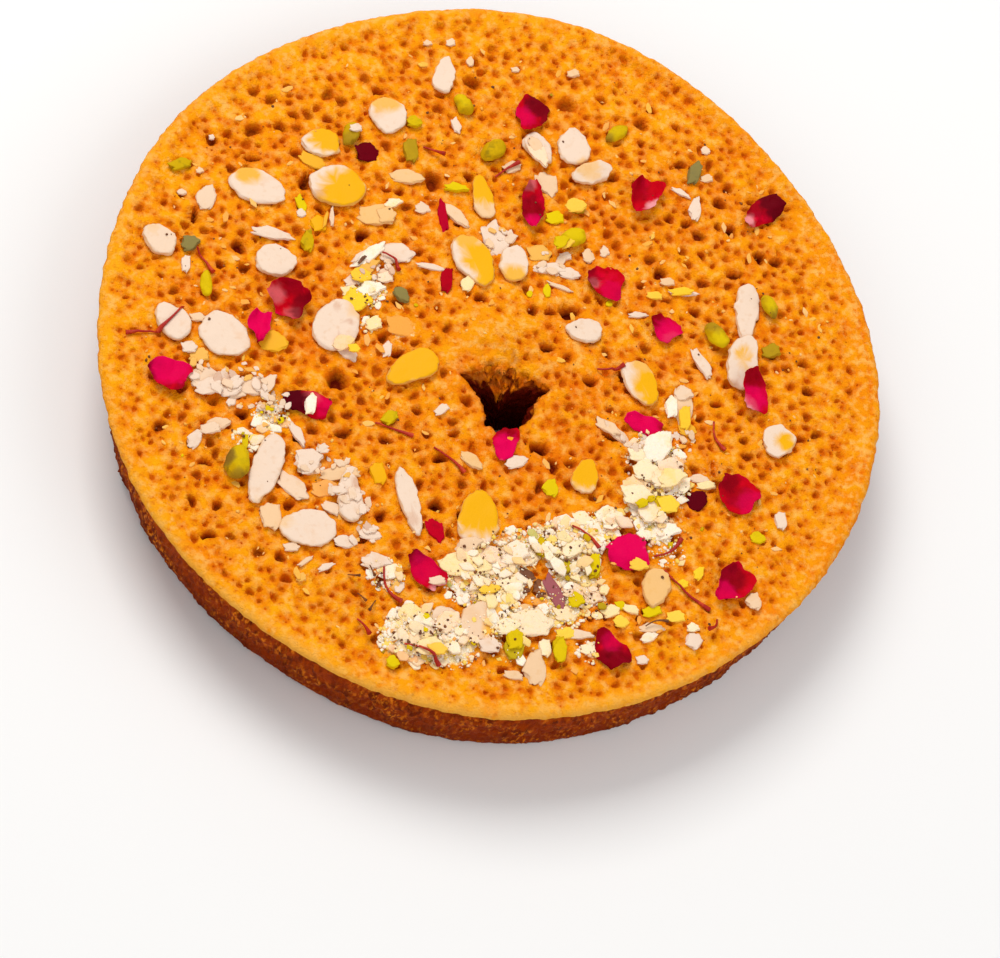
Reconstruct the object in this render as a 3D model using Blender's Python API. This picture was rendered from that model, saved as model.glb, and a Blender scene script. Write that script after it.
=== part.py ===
"""Ghewar: a round, deep-fried lattice sweet with a hole near its middle, strewn with almond slices, rose petals,
pistachios, saffron and crumbled milk solids. It lies flat on its underside. +X is to the right, +Y is away."""

import math
import random

import bmesh
import bpy
import numpy as np
from mathutils import Matrix, Vector
from mathutils.bvhtree import BVHTree

MM = 0.001
DISC_RADIUS = 0.115
DISC_HEIGHT = 0.030
RIM_WIDTH = 0.009  # the smooth band round the face
LIP_RISE = 0.0012
WALL_TAPER = 0.0045  # the underside is this much smaller in radius than the face
WALL_SHIFT = (0.0015, -0.0020)  # and its middle lies this far from the middle of the face
# Lobes of the outline: how many, how high, and the angle of one crest in degrees.
RIM_WAVES = ((3, 0.0005, -26), (4, 0.0006, -12), (5, 0.0006, -3), (6, 0.0003, 21))
RIM_SIDES = 96
FIELD_SIDES = 48
FIELD_RINGS = (0.2, 0.4, 0.58, 0.76, 0.9)  # from the rim band inwards, as shares of the way to the hole
WALL_CRAG = 0.0016

HOLE_CENTRE = (0.003, -0.017)
HOLE_RADIUS = 0.0092
HOLE_STRETCH = (1.22, 0.9)  # it is wider than it is deep
MOUND_CENTRE = (-0.003, 0.004)
MOUND_REACH = 0.024
MOUND_RISE = 0.0028
FACE_RIPPLE = 0.0005

PIT_COUNT = 170
PIT_SIDES = 6
PIT_RADII = (0.0012, 0.0024)
EDGE_PIT_RADII = (0.0009, 0.0014)
PIT_DEPTHS = (0.005, 0.010)
PIT_WALL = 0.0018  # the least web between two pits
# The largest pits: x, y, length, width in millimetres and turn in degrees.
LARGE_PITS = (
    (-44, -15, 7, 4, -20), (-19, 54, 7, 4, 80), (96, 15, 5, 5, 0), (17, -32, 14, 3.5, -20),
)

GAP = 0.00035  # between pieces that rest on one another
SLICE_THICKNESS = 0.0013
PETAL_THICKNESS = 0.0005
MOST_SLOPE = 0.30
CELL = 0.0008  # of the height grid on which the toppings settle
REACH = 0.12
SEED = 14

# Each topping: x, y, length and width in millimetres, and the turn of its length in degrees.
ALMOND_SLICES = (
    (-71, 45, 18, 12, -15), (-99, 24, 12, 9, -45), (-65, 21, 13, 11, 0), (-33, 74, 13, 12, 90),
    (-16, 91, 14, 7, 80), (-48, 48, 18, 15, 0), (-53, 62, 12, 10, 5), (24, 71, 13, 11, 95),
    (13, 69, 12, 8, -55), (29, 62, 14, 7, 20), (-4, 50, 16, 7, -80), (-79, -5, 17, 14, -30),
    (-94, -2, 13, 10, -50), (-47, 2, 19, 14, 75), (-25, -10, 19, 10, 35), (-7, 27, 20, 12, -65),
    (5, 28, 14, 9, 80), (26, 8, 12, 8, 5), (43, -7, 17, 10, -65), (76, 20, 21, 8, 85),
    (74, 3, 19, 10, 80), (84, -22, 12, 10, 60), (-54, -63, 18, 12, 10), (-66, -46, 25, 9, 75),
    (-42, -52, 17, 8, -85), (-25, -52, 24, 6, -75), (-5, -55, 19, 13, 85), (26, -39, 12, 8, 80),
    (-4, -86, 17, 11, 45), (46, -72, 13, 9, 80), (48, -35, 17, 12, -60),
)
ROSE_PETALS = (
    (11, 80, 14, 10, 65), (45, 56, 14, 10, 70), (82, 55, 16, 8, 40), (11, 49, 18, 7, 90),
    (33, 25, 12, 12, -15), (51, 12, 10, 9, -50), (-61, 8, 13, 12, -30), (-69, -1, 12, 6, 85),
    (-94, -19, 13, 11, -15), (-55, -24, 15, 8, -8), (44, -20, 13, 7, -15), (3, -31, 12, 7, 75),
    (77, -7, 14, 8, -80), (71, -40, 13, 13, -30), (38, -62, 13, 12, 5), (69, -69, 14, 10, 50),
    (33, -92, 13, 10, -60), (-20, -73, 14, 8, -45),
)
PISTACHIOS = (
    (-74, -45, 12, 8, 85), (-85, 11, 10, 4, 90), (-10, 81, 9, 6, -50), (-44, 66, 10, 6, 75),
    (-1, 66, 11, 7, 45), (37, 77, 10, 5, 40), (23, 39, 10, 7, 30), (66, 11, 11, 6, -60),
    (83, 22, 9, 6, -60),
)
# Smaller ones, fused to the face. What would touch a larger topping is left out.
ALMOND_BITS = (
    (-30, 28, 12, 7, -5), (-36, 40, 11, 8, -10), (9, -84, 10, 8, 15), (11, -99, 11, 7, 85),
    (-84, -19, 11, 7, 5), (-70, -20, 9, 7, -15), (-86, 40, 9, 6, 80), (-66, 30, 14, 4, -3),
    (34, -21, 10, 5, -35), (-64, -60, 9, 7, 80), (-80, -33, 8, 4, 20), (-86, -38, 7, 4, 60),
    (-54, -43, 8, 7, 0), (-34, -44, 7, 5, 90), (-7, -37, 8, 4, -30), (75, -73, 6, 5, 80),
    (57, -87, 6, 5, 50), (84, -47, 6, 4, 80), (56, -13, 14, 6, -85), (61, 54, 9, 4, 80),
    (-87, 0, 5, 3, 0), (62, 2, 11, 4, -65), (-27, 54, 11, 5, 0), (-38, 22, 9, 4, 45),
    (-53, 35, 6, 5, 90), (-91, 17, 6, 3, 80), (-12, 43, 11, 4, -40), (16, 57, 9, 7, -60),
    (-12, 74, 6, 3, -75), (24, 97, 4, 3, 0), (22, 27, 7, 4, 0), (-57, -34, 9, 3, -60),
)
PISTACHIO_BITS = (
    (-94, 50, 8, 4, 25), (-26, 63, 8, 5, 85), (-25, 73, 5, 4, 5), (-12, 52, 8, 3, 0), (28, -68, 7, 4, 85),
    (20, -68, 5, 4, 0), (-29, -101, 4, 4, 0), (-56, 29, 8, 4, 85), (-31, -26, 6, 4, 40), (48, -46, 6, 5, 90),
    (-28, 14, 6, 4, -40), (-90, 24, 6, 5, 30), (61, 66, 9, 4, 70), (83, 8, 6, 5, 5), (5, -94, 8, 6, 80),
    (13, -62, 7, 4, 80), (25, 50, 5, 4, 0), (18, -93, 8, 4, 85),
)
PETAL_SCRAPS = (
    (-16, 42, 12, 3, 97), (-15, 20, 9, 4, 78), (59, -43, 7, 6, 60), (-17, -60, 8, 5, -60), (-39, 61, 8, 7, 5),
    (17, -76, 10, 4, -65),
)
# Saffron threads: both ends, in millimetres.
SAFFRON = (
    (-107, -7, -101, -6), (-88, 22, -83, 15), (-22, 65, -16, 62), (0, 58, 7, 63), (30, -4, 38, -2),
    (-35, -28, -24, -31), (-18, -34, -9, -41), (22, -55, 30, -61), (46, -62, 54, -56), (49, -66, 62, -77),
    (65, -17, 68, -26), (-26, -96, -16, -101), (-39, -89, -36, -94), (-32, -73, -27, -83), (64, -80, 61, -84),
)
THREAD_WIDTH = 0.0011
# Drifts of crumbs: centre, radius in millimetres and how many crumbs.
CRUMB_DRIFTS = (
    (28, -58, 17, 12), (5, -74, 14, 8), (-20, -90, 10, 6), (56, -36, 11, 5), (-70, -22, 9, 3), (-46, -42, 9, 3),
    (-42, 12, 8, 2), (20, -88, 10, 4),
)
CRUMB_RADII = (0.0012, 0.0022)

UP = Vector((0, 0, 1))


def clear_scene():
    for old in list(bpy.data.objects):
        bpy.data.objects.remove(old, do_unlink=True)


def material(name, colour, roughness):
    made = bpy.data.materials.new(name)
    made.use_nodes = True
    shader = made.node_tree.nodes["Principled BSDF"]
    shader.inputs["Base Color"].default_value = (*colour, 1)
    shader.inputs["Roughness"].default_value = roughness
    shader.inputs["Metallic"].default_value = 0
    return made


def add_object(name, bm, look):
    bmesh.ops.recalc_face_normals(bm, faces=bm.faces)
    bmesh.ops.triangulate(bm, faces=bm.faces)
    mesh = bpy.data.meshes.new(name)
    bm.to_mesh(mesh)
    bm.free()
    mesh.materials.append(look)
    obj = bpy.data.objects.new(name, mesh)
    bpy.context.scene.collection.objects.link(obj)
    return obj


def skin(bm, outer, inner):
    """Faces between two rings of points, the outer with as many points as the inner or twice as many."""
    step = len(outer) // len(inner)
    for i, here in enumerate(inner):
        there = inner[(i + 1) % len(inner)]
        span = [outer[(step * i + k) % len(outer)] for k in range(step + 1)]
        if step == 2:
            bm.faces.new((span[0], span[1], here))
        bm.faces.new((span[-2], span[-1], there, here))


def loft(rings, close_first=True, close_last=True):
    """A mesh through rings of points, all of the same count, closed at its ends."""
    bm = bmesh.new()
    loops = [[bm.verts.new(point) for point in ring] for ring in rings]
    for lower, upper in zip(loops, loops[1:]):
        skin(bm, lower, upper)
    if close_first:
        bm.faces.new(loops[0])
    if close_last:
        bm.faces.new(loops[-1])
    return bm


# The sweet


def waved_radius(angle):
    return DISC_RADIUS + sum(rise * math.cos(lobes * (angle - math.radians(crest))) for lobes, rise, crest in RIM_WAVES)


def hole_point(angle, scale):
    waver = 1 + 0.12 * math.cos(2 * angle + 0.6) + 0.10 * math.sin(3 * angle) + 0.05 * math.cos(5 * angle)
    return (
        HOLE_CENTRE[0] + HOLE_RADIUS * HOLE_STRETCH[0] * waver * scale * math.cos(angle),
        HOLE_CENTRE[1] + HOLE_RADIUS * HOLE_STRETCH[1] * waver * scale * math.sin(angle),
    )


def face_height(x, y):
    away = ((x - MOUND_CENTRE[0]) ** 2 + (y - MOUND_CENTRE[1]) ** 2) / MOUND_REACH**2
    ripple = FACE_RIPPLE * math.sin(x / 0.015 + 1) * math.cos(y / 0.019)
    return DISC_HEIGHT - LIP_RISE + MOUND_RISE * math.exp(-away) + ripple


def rim_ring(bm, rng, inset, height, jitter):
    """A ring of points round the outside, inset from the outline and roughened by jitter."""
    points = []
    drop = 1 - height / DISC_HEIGHT
    for i in range(RIM_SIDES):
        angle = math.tau * i / RIM_SIDES
        radius = waved_radius(angle) - inset + rng.uniform(-jitter, jitter)
        rise = rng.uniform(-jitter, jitter) if 0 < height < DISC_HEIGHT else 0
        x = radius * math.cos(angle) + WALL_SHIFT[0] * drop
        y = radius * math.sin(angle) + WALL_SHIFT[1] * drop
        points.append(bm.verts.new((x, y, height + rise)))
    return points


def field_ring(bm, share):
    """A ring of points on the face, at a share of the way from the rim band to the hole's lip."""
    points = []
    for i in range(FIELD_SIDES):
        angle = math.tau * i / FIELD_SIDES
        rim = Vector((math.cos(angle), math.sin(angle))) * (waved_radius(angle) - RIM_WIDTH)
        x, y = rim.lerp(Vector(hole_point(angle, 1.08)), share)
        points.append(bm.verts.new((x, y, face_height(x, y))))
    return points


def hole_ring(bm, scale, height):
    angles = [math.tau * i / FIELD_SIDES for i in range(FIELD_SIDES)]
    return [bm.verts.new((*hole_point(angle, scale), height)) for angle in angles]


def cake_mesh(rng):
    """The bare disc: ragged wall, raised lip, rippled face, and a hole right through."""
    bm = bmesh.new()
    rings = [
        rim_ring(bm, rng, WALL_TAPER, 0, WALL_CRAG / 2),
        rim_ring(bm, rng, WALL_TAPER * 0.8, DISC_HEIGHT * 0.25, WALL_CRAG),
        rim_ring(bm, rng, WALL_TAPER * 0.55, DISC_HEIGHT * 0.58, WALL_CRAG),
        rim_ring(bm, rng, 0.0003, DISC_HEIGHT - 0.003, WALL_CRAG / 3),
        rim_ring(bm, rng, 0.0030, DISC_HEIGHT, WALL_CRAG / 4),
        *(field_ring(bm, share) for share in (0, *FIELD_RINGS)),
        hole_ring(bm, 1.0, DISC_HEIGHT - 0.0015),
        hole_ring(bm, 0.76, DISC_HEIGHT * 0.5),
        hole_ring(bm, 0.84, 0),
    ]
    for outer, inner in zip(rings, rings[1:]):
        skin(bm, outer, inner)
    skin(bm, rings[0], rings[-1])
    bmesh.ops.recalc_face_normals(bm, faces=bm.faces)
    bmesh.ops.triangulate(bm, faces=bm.faces)
    return bm


# The heights on which toppings settle


def cell_of(value):
    return int((value + REACH) / CELL)


def middle_of(cell):
    return (cell + 0.5) * CELL - REACH


def scan(bm):
    """The cells under a mesh, with the heights of its underside and its top there."""
    tree = BVHTree.FromBMesh(bm)
    across = [cell_of(v.co.x) for v in bm.verts]
    along = [cell_of(v.co.y) for v in bm.verts]
    cells, under, over = [], [], []
    for i in range(min(across), max(across) + 1):
        for j in range(min(along), max(along) + 1):
            spot = Vector((middle_of(i), middle_of(j), 0))
            low = tree.ray_cast(spot - UP, UP)[0]
            if low is None:
                continue
            cells.append((i, j))
            under.append(low.z)
            over.append(tree.ray_cast(spot + UP, -UP)[0].z)
    return np.array(cells), np.array(under), np.array(over)


def widened(grid):
    """Each cell takes the largest of itself and its eight neighbours."""
    shifted = [np.roll(grid, (i, j), (0, 1)) for i in (-1, 0, 1) for j in (-1, 0, 1)]
    return np.max(shifted, axis=0)


class Face:
    """The heights of what lies uppermost, and which cells a loose topping covers."""

    def __init__(self, cake):
        side = cell_of(REACH)
        self.heights = np.full((side, side), -1.0)
        self.covered = np.zeros((side, side))
        cells, _, over = scan(cake)
        self.heights[tuple(cells.T)] = over
        self.bare = self.heights.copy()

    def settle(self, bm):
        """Lowers a stiff piece until it rests, at the slope that brings it lowest."""
        cells, under, over = scan(bm)
        where = tuple(cells.T)
        x, y = (cells.T + 0.5) * CELL - REACH
        x0, y0 = x.mean(), y.mean()
        need = widened(self.heights)[where] + GAP - under
        slopes = np.linspace(-MOST_SLOPE, MOST_SLOPE, 13)
        lifts = {(a, b): (need - a * (x - x0) - b * (y - y0)).max() for a in slopes for b in slopes}
        a, b = min(lifts, key=lambda slope: (round(lifts[slope], 5), abs(slope[0]) + abs(slope[1])))
        for vert in bm.verts:
            vert.co.z += a * (vert.co.x - x0) + b * (vert.co.y - y0) + lifts[a, b]
        top = over + a * (x - x0) + b * (y - y0) + lifts[a, b]
        self.heights[where] = np.maximum(self.heights[where], top)
        self.covered[where] = 1

    def is_free(self, cells):
        """Whether no topping covers these cells or their neighbours, and the face lies under all of them."""
        where = tuple(np.array(cells).T)
        return not widened(self.covered)[where].any() and self.bare[where].min() > DISC_HEIGHT / 2

    def take(self, cells):
        self.covered[tuple(np.array(cells).T)] = 1


# Toppings


def place(bm, x, y, turn):
    bm.transform(Matrix.Translation((x * MM, y * MM, 0)) @ Matrix.Rotation(math.radians(turn), 4, "Z"))
    return bm


def scaled(outline, share, height):
    return [(x * share, y * share, height) for x, y in outline]


def almond_outline(rng, length, width, sides):
    """An almond cut lengthwise, broad at one end and pointed at the other, with uneven edges."""
    taper = rng.uniform(0.1, 0.32) * rng.choice((-1, 1))
    points = []
    for i in range(sides):
        angle = math.tau * i / sides
        waver = rng.uniform(0.94, 1.04)
        x = length / 2 * MM * math.cos(angle) * waver
        y = width / 2 * MM * math.sin(angle) * (1 - taper * math.cos(angle)) * waver
        points.append((x, y))
    return points


def almond_mesh(rng, length, width):
    outline = almond_outline(rng, length, width, 12)
    thick = SLICE_THICKNESS * rng.uniform(0.85, 1.2)
    return loft([scaled(outline, 0.95, 0), scaled(outline, 1, thick * 0.4), scaled(outline, 0.92, thick)])


def pistachio_mesh(rng, length, width):
    """Half a kernel, flat below and round above."""
    outline = almond_outline(rng, length, width, 9)
    high = width * 0.5 * MM
    return loft([scaled(outline, 0.9, 0), scaled(outline, 1, high * 0.35), scaled(outline, 0.62, high)])


def petal_mesh(rng, length, width):
    """A thin wavy sheet, narrow at its base and notched at its tip. Both faces are split into triangles alike."""
    steps = 4
    curl = rng.uniform(0.5, 1.1) * rng.choice((-0.6, 1, 1)) * width * 0.22 * MM
    bend = rng.uniform(0.2, 1.0) * length * 0.16 * MM
    ruffle = rng.uniform(0.0004, 0.0008)
    phase = rng.uniform(0, math.tau)

    def point(i, j, lift):
        u = i / steps
        v = 2 * j / steps - 1
        half = width / 2 * MM * math.sin(math.pi * (0.08 + 0.64 * u)) ** 0.8
        x = length * MM * (u - 0.5 - 0.10 * u * math.exp(-((v / 0.35) ** 2)) - 0.08 * u * v * v)
        waves = ruffle * u * (math.sin(3.1 * v + phase) + 0.6 * math.sin(7 * u + 2 * phase))
        return x, v * half, curl * v * v + bend * (u - 0.4) ** 2 * 4 + waves + lift

    bm = bmesh.new()
    sheets = []
    for lift in (0, PETAL_THICKNESS):
        sheets.append([[bm.verts.new(point(i, j, lift)) for j in range(steps + 1)] for i in range(steps + 1)])
    for sheet in sheets:
        for i in range(steps):
            for j in range(steps):
                a, b, c, d = sheet[i][j], sheet[i + 1][j], sheet[i + 1][j + 1], sheet[i][j + 1]
                bm.faces.new((a, b, c))
                bm.faces.new((a, c, d))
    border = [(i, 0) for i in range(steps)] + [(steps, j) for j in range(steps)]
    border += [(i, steps) for i in range(steps, 0, -1)] + [(0, j) for j in range(steps, 0, -1)]
    edges = [[sheet[i][j] for i, j in border] for sheet in sheets]
    skin(bm, edges[1], edges[0])
    return bm


def lay_toppings(rng, face, name, rows, mesh_of, look):
    for number, (x, y, length, width, turn) in enumerate(rows, 1):
        bm = place(mesh_of(rng, length, width), x, y, turn)
        bmesh.ops.recalc_face_normals(bm, faces=bm.faces)
        face.settle(bm)
        add_object(f"{name}_{number:02d}", bm, look)


# Small toppings, fused to the face


def sunk(face, bm, rise):
    """Moves a small piece so that its foot is under the face and its top stands clear by rise, or gives None."""
    cells, _, _ = scan(bm)
    if len(cells) == 0 or not face.is_free(cells):
        bm.free()
        return None
    face.take(cells)
    heights = face.bare[tuple(cells.T)]
    foot, top = heights.min() - 0.0007, heights.max() + rise
    for vert in bm.verts:
        vert.co.z = foot + (top - foot) * vert.co.z
    return bm


def bit_mesh(rng, length, width):
    """An uneven chip, one unit high."""
    outline = almond_outline(rng, length, width, 6)
    return loft([scaled(outline, 1, 0), scaled(outline, 0.85, 1)])


def crumb_mesh(rng, radius):
    sides = 5
    angles = [math.tau * (i + rng.uniform(-0.2, 0.2)) / sides for i in range(sides)]
    outline = [(radius * math.cos(a) * rng.uniform(0.7, 1.1), radius * math.sin(a)) for a in angles]
    return loft([scaled(outline, 1, 0), scaled(outline, 0.6, 1)])


def thread_mesh(rng, x0, y0, x1, y1):
    """A three-sided strand, thicker at one end, that bends a little."""
    start, end = Vector((x0, y0)) * MM, Vector((x1, y1)) * MM
    across = (end - start).orthogonal().normalized()
    bow = rng.uniform(-0.15, 0.15) * (end - start).length
    rings = []
    for share, half in ((0, 0.35), (0.35, 0.5), (0.7, 0.6), (1, 0.95)):
        middle = start.lerp(end, share) + across * bow * math.sin(math.pi * share)
        side = across * half * THREAD_WIDTH
        rings.append([(*(middle - side), 0), (*(middle + side), 0), (*middle, 1)])
    return loft(rings)


def small_toppings(rng, face):
    """Meshes of everything that is fused to the face, each with a name for its kind."""
    found = []
    for x, y, length, width, turn in ALMOND_BITS:
        found.append(("almond_bit", place(bit_mesh(rng, length, width), x, y, turn), 0.0011))
    for x, y, length, width, turn in PISTACHIO_BITS:
        found.append(("pistachio_bit", place(bit_mesh(rng, length, width), x, y, turn), 0.0016))
    for x, y, length, width, turn in PETAL_SCRAPS:
        found.append(("petal_scrap", place(bit_mesh(rng, length, width), x, y, turn), 0.0010))
    for ends in SAFFRON:
        found.append(("thread", thread_mesh(rng, *ends), 0.0009))
    for x, y, reach, count in CRUMB_DRIFTS:
        for _ in range(count):
            out, angle = reach * math.sqrt(rng.random()), rng.uniform(0, math.tau)
            radius = rng.uniform(*CRUMB_RADII)
            bm = place(crumb_mesh(rng, radius), x + out * math.cos(angle), y + out * math.sin(angle), 0)
            found.append(("crumb", bm, radius))
    return [(kind, bm) for kind, bm, rise in found if sunk(face, bm, rise)]


# Pits


def pit_mesh(x, y, length, width, turn, depth, height):
    """A cutter that narrows downwards, from above the face to a small floor."""
    def ring(share, z):
        angles = [math.tau * i / PIT_SIDES for i in range(PIT_SIDES)]
        return [(length / 2 * share * math.cos(a), width / 2 * share * math.sin(a), z) for a in angles]

    bm = loft([ring(1.25, height + 0.003), ring(1, height), ring(0.45, height - depth)])
    bm.transform(Matrix.Translation((x, y, 0)) @ Matrix.Rotation(turn, 4, "Z"))
    return bm


def pit_rows(rng, face):
    """Places for the pits: the large ones by hand, the rest at random but never touching."""
    rows = [
        (x * MM, y * MM, length * MM, width * MM, math.radians(turn), PIT_DEPTHS[1])
        for x, y, length, width, turn in LARGE_PITS
    ]
    for _ in range(PIT_COUNT * 60):
        if len(rows) >= PIT_COUNT:
            break
        out = DISC_RADIUS * math.sqrt(rng.random())
        angle = rng.uniform(0, math.tau)
        x, y = out * math.cos(angle), out * math.sin(angle)
        near_rim = out > DISC_RADIUS - 2.2 * RIM_WIDTH
        size = 2 * rng.uniform(*(EDGE_PIT_RADII if near_rim else PIT_RADII))
        row = (x, y, size * rng.uniform(1, 1.3), size * rng.uniform(0.8, 1), rng.uniform(0, math.pi))
        if is_clear(row, rows, face):
            rows.append((*row, rng.uniform(*PIT_DEPTHS)))
    return rows


def is_clear(row, rows, face):
    x, y, length = row[:3]
    if math.hypot(x, y) + length / 2 > DISC_RADIUS - RIM_WIDTH - 0.001:
        return False
    if math.hypot(x - HOLE_CENTRE[0], y - HOLE_CENTRE[1]) < HOLE_RADIUS * HOLE_STRETCH[0] * 1.25 + length / 2:
        return False
    if any(math.hypot(x - other[0], y - other[1]) < (length + other[2]) / 2 + PIT_WALL for other in rows):
        return False
    near = range(-int(length / 2 / CELL) - 1, int(length / 2 / CELL) + 2)
    return not any(face.covered[cell_of(x) + i, cell_of(y) + j] for i in near for j in near)


def apply_boolean(target, meshes, operation, look):
    """Joins the meshes to the target, or cuts them from it, all at once, and removes them."""
    group = bpy.data.collections.new(operation.lower())
    bpy.context.scene.collection.children.link(group)
    for kind, bm in meshes:
        tool = add_object(kind, bm, look)
        bpy.context.scene.collection.objects.unlink(tool)
        group.objects.link(tool)
        tool.hide_render = True
        tool.display_type = "WIRE"
    step = target.modifiers.new(operation.lower(), "BOOLEAN")
    step.operand_type = "COLLECTION"
    step.collection = group
    step.operation = operation
    step.solver = "EXACT"
    bpy.context.view_layer.objects.active = target
    bpy.ops.object.modifier_apply(modifier=step.name)
    for tool in list(group.objects):
        bpy.data.objects.remove(tool, do_unlink=True)
    bpy.data.collections.remove(group)


def centre_on_origin():
    """Moves every mesh so that the middle of the whole footprint is at the origin."""
    meshes = [obj.data for obj in bpy.context.scene.objects]
    spots = [vert.co for mesh in meshes for vert in mesh.vertices]
    middle = [(min(s[k] for s in spots) + max(s[k] for s in spots)) / 2 for k in (0, 1)]
    for mesh in meshes:
        mesh.transform(Matrix.Translation((-middle[0], -middle[1], 0)))


def main():
    clear_scene()
    rng = random.Random(SEED)
    crust = material("crust", (0.80, 0.36, 0.06), 0.6)
    almond = material("almond", (0.88, 0.78, 0.62), 0.5)
    petal = material("rose_petal", (0.55, 0.02, 0.10), 0.5)
    pistachio = material("pistachio", (0.42, 0.45, 0.08), 0.5)

    cake = cake_mesh(rng)
    face = Face(cake)
    lay_toppings(rng, face, "almond_slice", ALMOND_SLICES, almond_mesh, almond)
    lay_toppings(rng, face, "pistachio", PISTACHIOS, pistachio_mesh, pistachio)
    lay_toppings(rng, face, "rose_petal", ROSE_PETALS, petal_mesh, petal)

    ghewar = add_object("ghewar", cake, crust)
    apply_boolean(ghewar, small_toppings(rng, face), "UNION", almond)
    pits = [("pit", pit_mesh(*row, face_height(row[0], row[1]))) for row in pit_rows(rng, face)]
    apply_boolean(ghewar, pits, "DIFFERENCE", crust)
    centre_on_origin()


main()
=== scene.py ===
import math
import random

import bpy
import numpy as np
from mathutils import Matrix, Vector, noise
from mathutils.bvhtree import BVHTree
from mathutils.geometry import delaunay_2d_cdt


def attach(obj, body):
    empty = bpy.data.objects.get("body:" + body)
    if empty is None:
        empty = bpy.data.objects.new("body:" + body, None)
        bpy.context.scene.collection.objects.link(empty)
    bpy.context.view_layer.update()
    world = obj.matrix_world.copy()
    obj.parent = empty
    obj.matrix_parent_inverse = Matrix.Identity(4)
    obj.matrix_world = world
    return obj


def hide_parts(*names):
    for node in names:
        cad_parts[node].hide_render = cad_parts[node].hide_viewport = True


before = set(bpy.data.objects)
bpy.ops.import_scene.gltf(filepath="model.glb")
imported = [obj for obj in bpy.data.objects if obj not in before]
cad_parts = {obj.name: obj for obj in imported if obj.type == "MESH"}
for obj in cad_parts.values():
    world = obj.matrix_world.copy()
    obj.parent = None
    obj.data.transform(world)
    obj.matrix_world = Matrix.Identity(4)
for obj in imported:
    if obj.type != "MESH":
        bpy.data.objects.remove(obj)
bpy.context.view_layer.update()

mm = 0.001
# places on the face are measured from its own middle, which is this far from the footprint's
faceShift = (-0.0006, -0.0004)
bpy.ops.object.select_all(action="DESELECT")


def select(obj):
    bpy.ops.object.select_all(action="DESELECT")
    obj.select_set(True)
    bpy.context.view_layer.objects.active = obj


def editAll():  # starts to edit the object at hand, with all of it selected
    bpy.ops.object.mode_set(mode="EDIT")
    bpy.ops.mesh.select_all(action="SELECT")


def finish(obj, kind):  # every piece lies still with the sweet
    obj.data.materials.clear()
    obj.data.materials.append(materials[kind])
    select(obj)
    bpy.ops.object.shade_smooth()
    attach(obj, "root")
    return obj


def meshObject(name, verts, faces):
    mesh = bpy.data.meshes.new(name)
    mesh.from_pydata(verts, [], faces)
    mesh.validate()
    obj = bpy.data.objects.new(name, mesh)
    bpy.context.scene.collection.objects.link(obj)
    return obj


def paintMesh(obj, name, colours):
    layer = obj.data.color_attributes.new(name, "FLOAT_COLOR", "POINT")
    layer.data.foreach_set("color", np.array(colours, np.float32).ravel())


def bumps(x, y, z, size, octaves=2):  # noise from about -1 to 1, with features of the given size
    return noise.fractal(Vector((x, y, z)) / size, 0.8, 2.1, octaves)


def smoothStep(low, high, value):
    share = min(max((value - low) / (high - low), 0), 1)
    return share * share * (3 - 2 * share)


def hump(value, middle, width):  # 1 at the middle, fading to both sides
    return math.exp(-(((value - middle) / width) ** 2))


def feed(tree, socket, value):  # value: a number, a colour, or what another node puts out
    if isinstance(value, bpy.types.NodeSocket):
        tree.links.new(value, socket)
    elif socket.type == "RGBA":
        socket.default_value = (*value[:3], 1)
    else:
        socket.default_value = value


def addNode(tree, kind, inputs=(), **settings):
    node = tree.nodes.new(kind)
    for key, value in settings.items():
        setattr(node, key, value)
    for key, value in dict(inputs).items():
        feed(tree, node.inputs[key], value)
    return node


def addNoise(tree, spots, scale, detail=3, roughness=0.5):
    inputs = {"Vector": spots, "Scale": scale, "Detail": detail, "Roughness": roughness}
    return addNode(tree, "ShaderNodeTexNoise", inputs).outputs["Fac"]


def ranged(tree, value, low, high, most=1.0):  # 0 at low, and most at high
    inputs = {"Value": value, "From Min": low, "From Max": high, "To Max": most}
    return addNode(tree, "ShaderNodeMapRange", inputs).outputs["Result"]


def combined(tree, operation, first, second):
    return addNode(tree, "ShaderNodeMath", {0: first, 1: second}, operation=operation).outputs[0]


def mixed(tree, amount, first, second):
    inputs = {"Factor": amount, "A": first, "B": second}
    return addNode(tree, "ShaderNodeMix", inputs, data_type="RGBA").outputs["Result"]


def startGroup(name, inputs, output, outputKind):
    group = bpy.data.node_groups.new(name, "ShaderNodeTree")
    for label, kind, value in inputs:
        group.interface.new_socket(label, in_out="INPUT", socket_type=kind).default_value = value
    group.interface.new_socket(output, in_out="OUTPUT", socket_type=outputKind)
    spots = addNode(group, "ShaderNodeTexCoord").outputs["Object"]
    return group, group.nodes.new("NodeGroupInput").outputs, spots


colourKind, floatKind = "NodeSocketColor", "NodeSocketFloat"


def makeMottleGroup():  # two colours in soft patches, with specks of a third
    group, given, spots = startGroup(
        "mottle",
        (
            ("Main", colourKind, (0.8, 0.8, 0.8, 1)), ("Patch", colourKind, (0.5, 0.5, 0.5, 1)),
            ("Speck", colourKind, (0.2, 0.1, 0.05, 1)), ("Patch Scale", floatKind, 90),
            ("Patch Amount", floatKind, 0.5), ("Speck Scale", floatKind, 900),
            ("Speck Amount", floatKind, 0.1),
        ),
        "Color", colourKind,
    )
    patchLow = combined(group, "SUBTRACT", 1.0, given["Patch Amount"])
    patchHigh = combined(group, "ADD", patchLow, 0.16)
    patches = ranged(group, addNoise(group, spots, given["Patch Scale"], 4, 0.6), patchLow, patchHigh)
    specks = addNoise(group, spots, given["Speck Scale"], 2)
    specks = ranged(group, specks, 0.56, 0.74, given["Speck Amount"])
    last = mixed(group, patches, given["Main"], given["Patch"])
    addNode(group, "NodeGroupOutput", {"Color": mixed(group, specks, last, given["Speck"])})
    return group


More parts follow.
